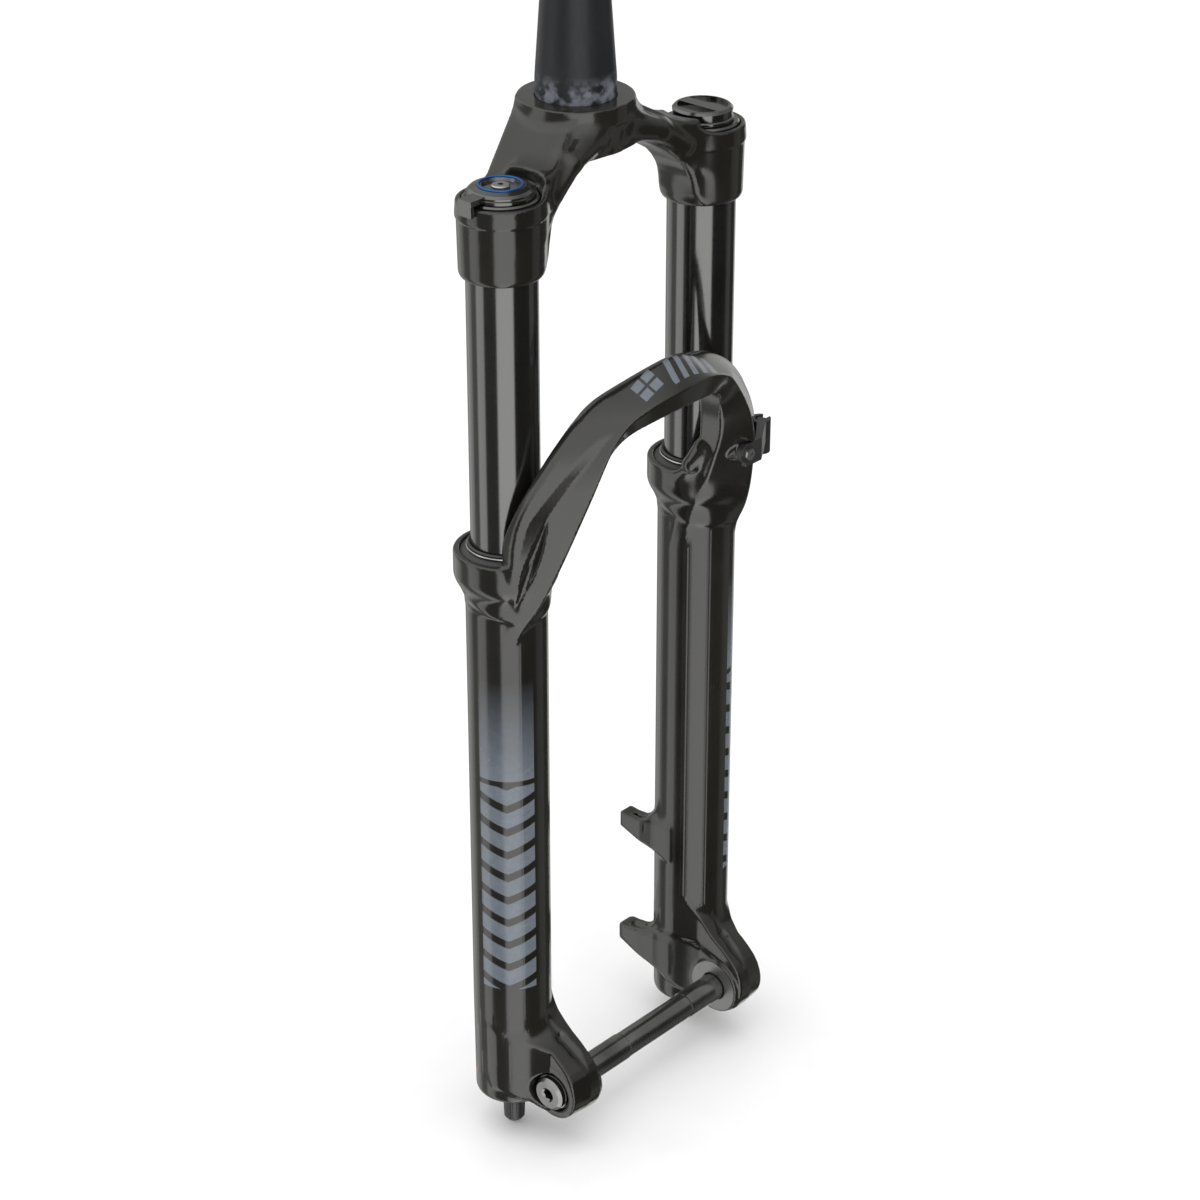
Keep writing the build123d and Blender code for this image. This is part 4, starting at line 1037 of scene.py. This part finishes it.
def gloss_black(name, printed):
    """Gloss paint with slight orange peel and scuffs; the printed one has bare machined faces."""
    material = bpy.data.materials.new(name)
    t = Tree(material)
    patches = t.noise(22.0)
    peel = t.noise(520.0, 1.0)
    scratches = t.noise(300.0, 4.0, SCRATCH_STRETCH)
    worn = t.ranged(scratches, 0, 1, *SCRATCH_WEAR)
    color = t.mixed(t.ranged(patches, 0, 1), rgba(BLACK, 0.8), rgba(BLACK, 1.3))
    roughness = t.math("ADD", t.ranged(patches, *GLOSS_ROUGHNESS), t.math("MULTIPLY", worn, WORN_ROUGHER))
    metal = 0.0
    if printed:
        x, y, z, wide = coordinates(t)
        ink = t.math("MAXIMUM", leg_print(t, x, wide, z), arch_print(t, x, y, z))
        ink = t.both(ink, t.ranged(t.noise(260.0, 4.0), 0.86, 1.0))
        color = t.mixed(ink, color, rgba(PRINT))
        spot = t.both(t.between(y, *SPOT_YS, 0.2), t.between(x, *SPOT_XS, 0.3), t.between(z, *SPOT_ZS, 0.3))
        color = t.mixed(spot, color, rgba(SPOT_RED))
        roughness = t.math("ADD", roughness, t.math("MULTIPLY", ink, INK_ROUGHER))
        metal = machined(t, x, z, wide)
        color = t.mixed(metal, color, rgba(BARE_METAL))
        roughness = t.math("ADD", roughness, t.math("MULTIPLY", metal, BARE_ROUGHER), clamp=True)
    normal = t.bump(scratches, 0.025, SCRATCH_HEIGHT, t.bump(peel, 0.02, PEEL_HEIGHT))
    t.surface(color, roughness, normal, IOR=1.5, Metallic=metal)
    return material


# Heights between which the steerer's foot has its pale bloom.
BLOOM_ZS = (-40, 10)


def steerer_finish():
    """Matt dark blue-grey with a cloudy pale bloom round the pressed foot."""
    material = bpy.data.materials.new("matt steerer")
    t = Tree(material)
    z = coordinates(t)[2]
    clouds = t.noise(170.0, 6.0)
    low = t.between(z, *BLOOM_ZS, 4.0)
    bloom = t.both(low, t.ranged(clouds, 0, 1, 0.44, 0.62))
    base = t.mixed(t.ranged(t.noise(18.0), 0, 1), rgba(STEERER_DARK), rgba(STEERER_PALE))
    color = t.mixed(bloom, base, rgba(BLOOM))
    grain = t.noise(700.0, 2.0, (1, 1, 0.15))
    roughness = t.math("ADD", t.ranged(grain, 0.38, 0.5), t.math("MULTIPLY", bloom, 0.15))
    t.surface(color, roughness, t.bump(grain, 0.12, 0.0003), IOR=1.3)
    return material


FINISHES = {
    "steerer_black": steerer_finish(),
    "black_gloss": gloss_black("gloss paint", False),
    "black_anodised": finish("black anodised", (0.0075, 0.0072, 0.0068), 0.13, ior=1.85, grain=900.0,
                             stretch=(0.25, 0.25, 2.5), relief=0.02, scuffs=0.06),
    "rubber_black": finish("rubber", (0.022, 0.022, 0.022), 0.55, grain=1400.0, relief=0.15),
    "bare_aluminium": finish("bare aluminium", (0.62, 0.62, 0.6), 0.3, 1.0, grain=900.0,
                             stretch=(0.2, 0.2, 3), relief=0.05, vary=0.08),
    "blue_anodised": finish("blue anodised", (0.008, 0.09, 0.3), 0.25, 0.85, grain=900.0, vary=0.1),
    "steel": finish("steel", (0.32, 0.32, 0.315), 0.26, 1.0, grain=900.0, stretch=(0.3, 0.3, 2),
                    relief=0.05, vary=0.08, scuffs=0.1),
    "black_plastic": finish("black plastic", (0.016, 0.016, 0.0165), 0.42, grain=1100.0, relief=0.2),
    "axle_black": finish("axle black", (0.17, 0.17, 0.167), 0.16, 0.95, grain=900.0,
                         stretch=(1, 0.2, 1), relief=0.03, scuffs=0.1),
    "bushing_bronze": finish("bushing", (0.20, 0.14, 0.07), 0.45, 0.7, grain=800.0, vary=0.15),
    "foam_grey": finish("oiled foam", (0.09, 0.09, 0.085), 0.85, grain=1600.0, relief=0.6),
    "copper_washer": finish("copper", (0.55, 0.25, 0.13), 0.35, 1.0, grain=900.0, vary=0.15),
}
casting.data.materials.append(gloss_black("printed gloss paint", True))
crown_piece.data.materials.append(FINISHES["black_gloss"])
for row in frame["record"]["subparts"]:
    for material_slot in frame["nodes"][row["node"]].material_slots:
        material_slot.material = FINISHES[row["material_slot"]]

# ------------------------------------------------------------------ floor, light and camera
FLOOR_SIZE = 12.0
FLOOR_GAP = 0.002
PALE = (0.92, 0.92, 0.92)


def pale_floor():
    bpy.ops.mesh.primitive_plane_add(size=FLOOR_SIZE, location=(0, 0, cad_box[0].z - FLOOR_GAP))
    plane = bpy.context.object
    plane.name = "floor"
    plane.data.materials.append(finish("pale floor", PALE, 0.8, grain=40.0, vary=0.01, relief=0.01))
    plane.visible_glossy = False
    return plane


floor = pale_floor()

# Gloss sees a plain studio: tall soft boxes round the object and a broad one overhead. Each pair
# is a direction round the vertical, in degrees from +X towards +Y, and a brightness.
SOFT_BOXES = [
    (-180, 0.9), (-165, 0.9), (-160, 0.4), (-139, 0.4), (-135, 1.8), (-110, 1.8), (-106, 0.15),
    (-68, 0.15), (-64, 2.7), (-14, 2.7), (-10, 0.03), (39, 0.03), (43, 0.25), (66, 0.25), (72, 0.06),
    (96, 0.06), (101, 1.0), (112, 1.0), (118, 0.4), (160, 0.4), (165, 0.9), (180, 0.9),
]
BRIGHTEST = 3.0
# The overhead one's brightness on the right and on the left, and the upward parts of the
# directions between which it takes over from the soft boxes.
OVERHEAD = 1.9
OVERHEAD_BACK = 0.55
OVERHEAD_FROM = 0.16
OVERHEAD_FULL = 0.5
SEEN_WHITE = 1.05


def studio_world():
    """White to look at, and the plain studio for gloss."""
    world = bpy.data.worlds.new("studio")
    t = Tree(world)
    aim = t.add("SeparateXYZ", {0: t.add("TexCoord").outputs["Generated"]}).outputs
    turn = t.math("ARCTAN2", aim[1], aim[0])
    ramp = t.add("ValToRGB", {0: t.math("MULTIPLY_ADD", turn, 0.5 / math.pi, 0.5)})
    stops = ramp.color_ramp.elements
    while len(stops) < len(SOFT_BOXES):
        stops.new(0.5)
    for stop, (degrees, bright) in zip(stops, SOFT_BOXES):
        stop.position = degrees / 360 + 0.5
        stop.color = rgba((bright / BRIGHTEST,) * 3)
    sides = t.math("MULTIPLY", t.add("RGBToBW", {0: ramp.outputs[0]}).outputs[0], BRIGHTEST)
    height = t.add("MapRange", {"Value": aim[2], "From Min": OVERHEAD_FROM, "From Max": OVERHEAD_FULL},
                   interpolation_type="SMOOTHSTEP").outputs[0]
    overhead = t.ranged(aim[1], OVERHEAD_BACK, OVERHEAD, 0.5, -0.3)
    gloss_light = t.add("Mix", {0: height, 2: sides, 3: overhead}, data_type="FLOAT").outputs[0]
    is_gloss = t.add("LightPath").outputs["Is Glossy Ray"]
    seen = t.add("Background", {"Color": (1, 1, 1, 1), "Strength": SEEN_WHITE})
    reflected = t.add("Background", {"Color": (1, 1, 0.985, 1), "Strength": gloss_light})
    choice = t.add("MixShader", {0: is_gloss, 1: seen.outputs[0], 2: reflected.outputs[0]})
    t.tree.links.new(choice.outputs[0], t.add("OutputWorld").inputs[0])
    return world


def soft_light(name, location, target, width, energy):
    """Square area light that gloss doesn't show."""
    data = bpy.data.lights.new(name, "AREA")
    data.size = width
    data.energy = energy
    lamp = bpy.data.objects.new(name, data)
    lamp.location = location
    lamp.rotation_euler = (Vector(target) - Vector(location)).to_track_quat("-Z", "Y").to_euler()
    lamp.visible_glossy = False
    bpy.context.collection.objects.link(lamp)


CAMERA_PLACE = (0.995, -1.0971, 0.494)
CAMERA_LENS = 96.18
SENSOR_WIDTH = 36
# Degrees that it is turned from +Y towards -X, and that it looks down.
CAMERA_TURN = 41.755
CAMERA_DOWN = 27.432


def add_camera():
    camera = bpy.data.objects.new("camera", bpy.data.cameras.new("camera"))
    bpy.context.collection.objects.link(camera)
    camera.data.lens = CAMERA_LENS
    camera.data.sensor_width = SENSOR_WIDTH
    camera.location = CAMERA_PLACE
    turn, down = math.radians(CAMERA_TURN), math.radians(CAMERA_DOWN)
    forward = Vector((-math.sin(turn) * math.cos(down), math.cos(turn) * math.cos(down), -math.sin(down)))
    camera.rotation_euler = forward.to_track_quat("-Z", "Y").to_euler()
    bpy.context.scene.camera = camera


bpy.context.scene.world = studio_world()
bpy.context.scene.view_settings.view_transform = "Standard"
soft_light("overhead", (0.3, -0.6, 2.2), target=(0, 0, -0.3), width=2.4, energy=22)
add_camera()
